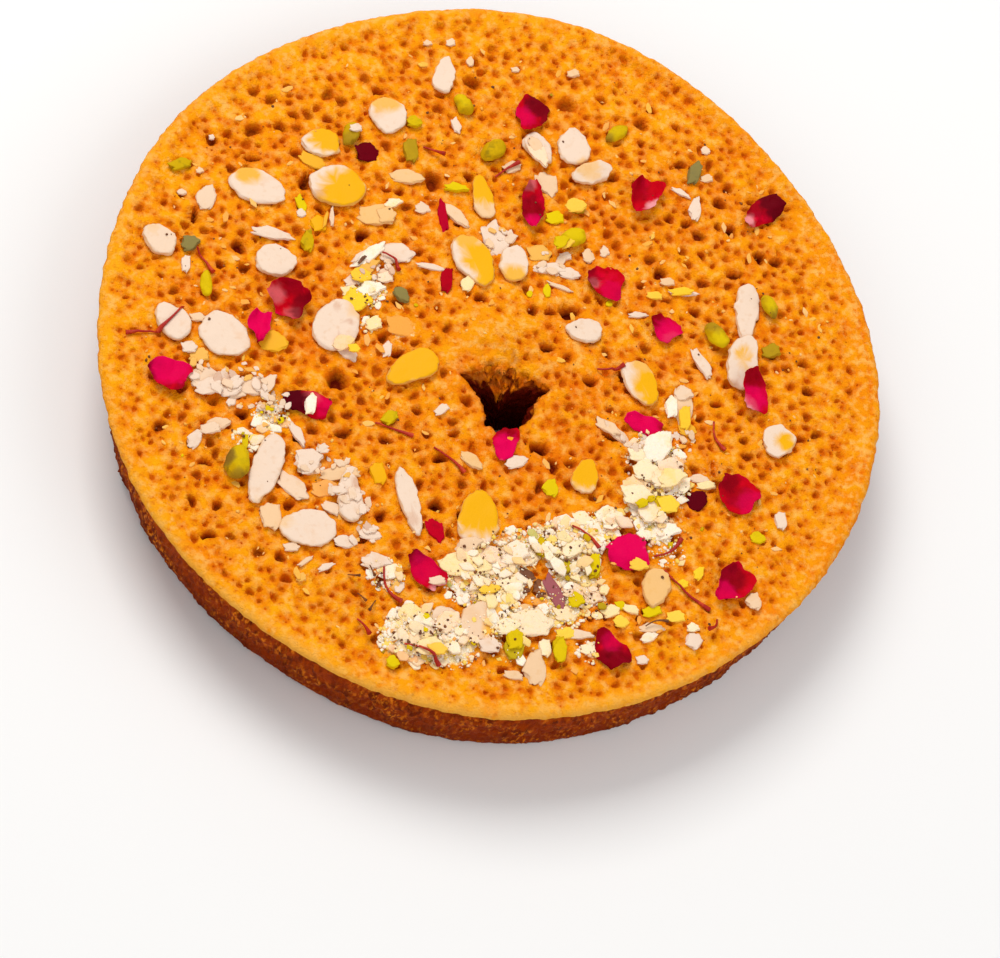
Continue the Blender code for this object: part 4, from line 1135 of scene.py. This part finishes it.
yellowSpots = (  # almond that is stained right through: x, y, reach and strength
    (-37, 40, 5, 0.55), (-53, 35, 4, 0.9), (13, 33, 5, 0.8), (-65, -5, 5, 0.9), (57, -19, 4, 0.8),
    (50, -46, 3, 1), (25, 50, 3, 0.9), (-27, -78, 5, 0.6), (-34, -43, 4, 1), (-39, 21, 2, 0.8),
    (-55, 56, 3, 0.8), (-55, -78, 3, 0.8), (-86, -11, 2, 0.8), (-26, 53, 3, 0.45), (9, -84, 2, 0.5),
    (-64, -60, 4, 0.35), (11, -99, 5, 0.3), (-7, -37, 4, 0.45), (5, -102, 4, 0.3),
)
clusters = (  # where broken almond lies close together: x, y and reach
    (-82, -17, 6), (-73, -20, 7), (-65, -26, 5), (-53, -42, 5), (-46, -46, 6), (-41, -53, 5), (-37, -63, 5),
    (-36, 22, 5), (-44, -3, 4), (42, -27, 5), (1, 36, 4), (17, 30, 5), (-29, -77, 4), (55, -24, 4),
)
greyNuts = ((-90, 24), (61, 66), (-28, 14))
scrapTints = {
    (59, -43): (0, 0.95, 0), (-39, 61): (0, 0.9, 0), (43, -56): (0, 0.9, 0), (17, -76): (0.7, 0.6, 0),
}
driftFlakes = [row for row in almondFlakes if driftShare(row[0] * mm, row[1] * mm) > 0.25]
almondFlakes = [row for row in almondFlakes if row not in driftFlakes]


# tints: how much of each of its material's paints a bit takes
def almondTint(spot, rng):
    for x, y, reach, strength in yellowSpots:
        if math.hypot(spot[0] - x, spot[1] - y) < reach:
            return min(strength * rng.uniform(1, 1.2), 1), 0, 0
    return rng.choice((0, 0, 0, 0.15, 0.3)), 0, rng.choice((0, 0, 0.25))


def clusterTint(spot, rng):
    draw = rng.random()
    yellow = 0.8 if draw < 0.14 else rng.choice((0, 0, 0.12))
    return yellow, 0.35 * (0.14 < draw < 0.22), rng.choice((0, 0, 0.3))


def tanTint(spot, rng):
    return 0, 0, rng.uniform(0.9, 1)


def creamTint(spot, rng):
    return rng.choice((0, 0.05, 0.15, 0.25, 0.45)), 0, rng.choice((0, 0, 0.15, 0.3))


def yellowTint(spot, rng):
    return rng.uniform(0.9, 1), 0, rng.choice((0, 0.2))


def nutTint(spot, rng):
    if spot in greyNuts:
        return 0, 0.5, 0.7
    return rng.choice((0.1, 0.4, 0.9)), rng.choice((0, 0, 0.35)), 0


def freshTint(spot, rng):
    return rng.uniform(0.6, 1), 0, 0


def crumbTint(spot, rng):
    draw = rng.random()
    yellow = rng.uniform(0.15, 0.9) * (draw < 0.40)
    return yellow, 0.8 * (0.40 < draw < 0.42), rng.uniform(0.3, 1) * (0.42 < draw < 0.52)


def shredTint(spot, rng):
    return rng.uniform(0.3, 0.9), 0, rng.uniform(0.45, 1)


def petalTint(spot, rng):
    return scrapTints.get(spot) or (0, rng.uniform(0, 0.5), rng.uniform(0, 0.4))


def inDrift(rng):
    x, y, reach, _ = rng.choices(drifts, [reach * reach * thick for _, _, reach, thick in drifts])[0]
    out, angle = reach * rng.random() ** 0.65 * 1.1, rng.uniform(0, math.tau)
    return (x + out * math.cos(angle)) * mm, (y + out * math.sin(angle)) * mm


def anywhere(rng):
    out, angle = 0.104 * math.sqrt(rng.random()), rng.uniform(0, math.tau)
    return out * math.cos(angle), out * math.sin(angle)


def inCluster(rng):
    x, y, reach = rng.choices(clusters, [row[2] ** 2 for row in clusters])[0]
    out, angle = reach * math.sqrt(rng.random()), rng.uniform(0, math.tau)
    return (x + out * math.cos(angle)) * mm, (y + out * math.sin(angle)) * mm


def mostlyDrift(rng):
    return inDrift(rng) if rng.random() < 0.7 else anywhere(rng)


def layChips(name, kind, rows, thickness, seed, tint):
    rng = random.Random(seed)
    places, colours = [], []
    for row in rows:
        x, y, length, width, turn = row
        x, y = x * mm + faceShift[0], y * mm + faceShift[1]
        a, b = length / 2 * mm, width / 2 * mm
        z = rest(x, y, min(length, width) / 2 * mm, thickness, 0.0002)
        if z is None:
            continue
        lean = rng.uniform(-0.16, 0.16)
        places.append((x, y, z + thickness / 2, a, b, thickness, math.radians(turn), lean))
        colours.append(tint(row[:2], rng))
    return strew(name, sliceBits, places, kind, colours)


def layThreads(name, kind, ends, thickness, seed=11, steps=9):
    rng = random.Random(seed)
    strands = []
    for x0, y0, x1, y1 in ends:
        start = Vector((x0 * mm + faceShift[0], y0 * mm + faceShift[1]))
        end = Vector((x1 * mm + faceShift[0], y1 * mm + faceShift[1]))
        across = (end - start).orthogonal().normalized() * (end - start).length
        bow = rng.uniform(-0.18, 0.18)
        curve = bpy.data.curves.new("strand", "CURVE")
        curve.dimensions = "3D"
        curve.bevel_depth = thickness
        curve.bevel_resolution = 1
        curve.use_fill_caps = True
        points = curve.splines.new("POLY").points
        points.add(steps - 1)
        for k, point in enumerate(points):
            share = k / (steps - 1)
            spot = start.lerp(end, share) + across * bow * math.sin(math.pi * share)
            z = rest(spot.x, spot.y, 0.0006, 0.0003, -0.0004)
            point.co = (spot.x, spot.y, crust["height"] if z is None else z, 1)
            point.radius = 0.6 + 1.0 * share**3
        levels = [point.co.z for point in points]
        for k in range(1, steps - 1):
            points[k].co.z = max(levels[k], (levels[k - 1] + levels[k] + levels[k + 1]) / 3)
        strand = bpy.data.objects.new("strand", curve)
        bpy.context.scene.collection.objects.link(strand)
        strands.append(strand)
    bpy.ops.object.select_all(action="DESELECT")
    for strand in strands:
        strand.select_set(True)
    bpy.context.view_layer.objects.active = strands[0]
    bpy.ops.object.convert(target="MESH")
    bpy.ops.object.join()
    piece = bpy.context.object
    piece.name = piece.data.name = name
    return finish(piece, kind)


def scatterBits(name, kind, bits, count, sizes, shape, spots, seed, sink, most, tint=None):
    # shape: length, width and height as shares of the size; most: how far above the crust a bit may lie
    rng = random.Random(seed)
    places, colours = [], []
    for _ in range(count):
        x, y = spots(rng)
        if math.hypot(x, y) > crust["radius"] - 0.007:
            continue
        spot = (x / mm, y / mm)
        away = fromHole(x, y)[0]
        size = sizes[0] + (sizes[1] - sizes[0]) * rng.random() ** 2
        x, y = x + faceShift[0], y + faceShift[1]
        length, width, height = (size * part for part in shape)
        if heapTops[cellOf(x), cellOf(y)] - bareTops[cellOf(x), cellOf(y)] > most and rng.random() > 0.02:
            continue
        if away < crust["holeReach"]:
            continue
        z = rest(x, y, width, height * 0.5, height * sink)
        if z is None:
            continue
        turn, lean = rng.uniform(0, math.tau), rng.uniform(-0.35, 0.35)
        places.append((x, y, z + height * 0.6, length, width, height, turn, lean))
        if tint:
            colours.append(tint(spot, rng))
    return strew(name, bits, places, kind, colours)


# the small toppings, from the bottom up
smallToppings = {
    "almondChips": {
        "kind": "almond", "rows": almondChips, "thickness": 0.0013, "seed": 1, "tint": almondTint,
    },
    "pistachioChips": {
        "kind": "pistachio", "rows": pistachioChips, "thickness": 0.0020, "seed": 2, "tint": nutTint,
    },
    "petalScraps": {
        "kind": "rosePetal", "rows": petalScraps, "thickness": 0.0010, "seed": 3, "tint": petalTint,
    },
    "milkFlakes": {
        "kind": "milkCrumb", "bits": flakeBits, "tint": crumbTint, "count": 900, "spots": inDrift,
        "sizes": (0.0007, 0.0023), "shape": (1, 0.72, 0.30), "seed": 27, "sink": 0.5, "most": 0.0016,
    },
    "milkCrumbs": {
        "kind": "milkCrumb", "bits": crumbBits, "tint": crumbTint, "count": 3800, "spots": inDrift,
        "sizes": (0.0003, 0.0009), "shape": (1, 0.8, 0.6), "seed": 21, "sink": 0.5, "most": 0.0012,
    },
    "strayCrumbs": {
        "kind": "milkCrumb", "bits": crumbBits, "tint": shredTint, "count": 220, "spots": anywhere,
        "sizes": (0.0003, 0.0008), "shape": (1, 0.7, 0.5), "seed": 22, "sink": 0.5, "most": 0.0005,
    },
    "tanFlakes": {"kind": "milkCrumb", "rows": tanFlakes, "thickness": 0.0007, "seed": 6, "tint": tanTint},
    "almondFlakes": {
        "kind": "almond", "rows": almondFlakes, "thickness": 0.0010, "seed": 4, "tint": almondTint,
    },
    "driftFlakes": {
        "kind": "milkCrumb", "rows": driftFlakes, "thickness": 0.0009, "seed": 8, "tint": creamTint,
    },
    "creamFlakes": {
        "kind": "milkCrumb", "rows": creamFlakes, "thickness": 0.0012, "seed": 9, "tint": creamTint,
    },
    "yellowFlakes": {
        "kind": "milkCrumb", "rows": yellowFlakes, "thickness": 0.0010, "seed": 10, "tint": yellowTint,
    },
    "greenFlakes": {
        "kind": "pistachio", "rows": greenFlakes, "thickness": 0.0011, "seed": 5, "tint": freshTint,
    },
    "brokenAlmond": {
        "kind": "almond", "bits": sliceBits, "tint": clusterTint, "count": 170, "spots": inCluster,
        "sizes": (0.0008, 0.0024), "shape": (1, 0.62, 0.36), "seed": 29, "sink": 0.4, "most": 0.0030,
    },
    "paleChips": {
        "kind": "milkCrumb", "bits": flakeBits, "tint": creamTint, "count": 120, "spots": inDrift,
        "sizes": (0.0014, 0.0032), "shape": (1, 0.6, 0.28), "seed": 23, "sink": 0.5, "most": 0.0022,
    },
    "brownSkins": {
        "kind": "spiceSpeck", "rows": brownSkins, "thickness": 0.0006, "seed": 13, "tint": tanTint,
    },
    "wiltedPetals": {
        "kind": "rosePetal", "rows": wiltedPetals, "thickness": 0.0010, "seed": 12, "tint": petalTint,
    },
    "saffronThreads": {"kind": "saffron", "ends": saffronThreads, "thickness": 0.00050},
    "darkStrands": {"kind": "spiceSpeck", "ends": darkStrands, "thickness": 0.00032},
    "almondShreds": {
        "kind": "milkCrumb", "bits": flakeBits, "tint": shredTint, "count": 320, "spots": anywhere,
        "sizes": (0.0006, 0.0021), "shape": (1, 0.45, 0.20), "seed": 24, "sink": 0.6, "most": 0.0005,
    },
    "pistachioCrumbs": {
        "kind": "pistachio", "bits": flakeBits, "tint": nutTint, "count": 40, "spots": mostlyDrift,
        "sizes": (0.0005, 0.0015), "shape": (1, 0.8, 0.6), "seed": 25, "sink": 0.5, "most": 0.0022,
    },
    "milkPowder": {
        "kind": "milkCrumb", "bits": crumbBits, "tint": crumbTint, "count": 1300, "spots": inDrift,
        "sizes": (0.00015, 0.0004), "shape": (1, 0.8, 0.6), "seed": 28, "sink": 0.4, "most": 0.0024,
    },
    "spiceSpecks": {
        "kind": "spiceSpeck", "bits": crumbBits, "count": 460, "spots": mostlyDrift,
        "sizes": (0.0002, 0.0006), "shape": (1, 0.8, 0.6), "seed": 26, "sink": 0.2, "most": 0.0030,
    },
}
for name, settings in smallToppings.items():
    lay = layChips if "rows" in settings else layThreads if "ends" in settings else scatterBits
    lay(name, **settings)
print("kinds of small toppings:", len(smallToppings))

stage = {"size": 3.0, "colour": (0.86, 0.86, 0.86), "roughness": 0.9, "sky": 0.46}
lights = (  # where, size, power, and tint
    ("keyLight", (-0.35, 0.75, 1.15), 0.7, 13.2, (1.0, 0.97, 0.93)),
    ("fillLight", (0.9, -0.4, 0.9), 1.2, 4.7, (1.0, 1.0, 1.0)),
    ("frontLight", (-0.5, -1.0, 0.8), 1.2, 3.2, (1.0, 1.0, 1.0)),
)
view = {
    "tilt": 28.3, "turn": -23.6, "distance": 0.947, "lens": 120, "sensor": 36,
    "aim": (0.0011, -0.0424, 0.030),
}


def makeStage():
    bpy.ops.mesh.primitive_plane_add(size=stage["size"], location=(0, 0, 0))
    floor = bpy.context.object
    floor.name = "floor"
    paint = bpy.data.materials.new("floorPaint")
    paint.use_nodes = True
    shader = paint.node_tree.nodes["Principled BSDF"]
    shader.inputs["Base Color"].default_value = (*stage["colour"], 1)
    shader.inputs["Roughness"].default_value = stage["roughness"]
    floor.data.materials.append(paint)
    world = bpy.data.worlds.new("softSky")
    world.use_nodes = True
    world.node_tree.nodes["Background"].inputs["Color"].default_value = (1, 1, 1, 1)
    world.node_tree.nodes["Background"].inputs["Strength"].default_value = stage["sky"]
    bpy.context.scene.world = world
    for name, place, size, power, tint in lights:
        bpy.ops.object.light_add(type="AREA", location=place)
        lamp = bpy.context.object
        lamp.name = name
        lamp.data.size = size
        lamp.data.energy = power
        lamp.data.color = tint
        lamp.rotation_euler = (-Vector(place)).to_track_quat("-Z", "Y").to_euler()


def makeCamera():
    tilt, turn = math.radians(view["tilt"]), math.radians(view["turn"])
    back = Vector((math.sin(tilt) * math.sin(turn), -math.sin(tilt) * math.cos(turn), math.cos(tilt)))
    right = (-back).cross(Vector((0, 1, 0))).normalized()
    up = right.cross(-back)
    aim = Vector(view["aim"]) + Vector((*faceShift, 0))
    bpy.ops.object.camera_add()
    camera = bpy.context.object
    camera.data.lens = view["lens"]
    camera.data.sensor_width = view["sensor"]
    place = Matrix((right, up, back)).transposed().to_4x4()
    place.translation = aim + back * view["distance"]
    camera.matrix_world = place
    bpy.context.scene.camera = camera


makeStage()
makeCamera()
bpy.context.scene.view_settings.view_transform = "Standard"
print("stage and camera set")
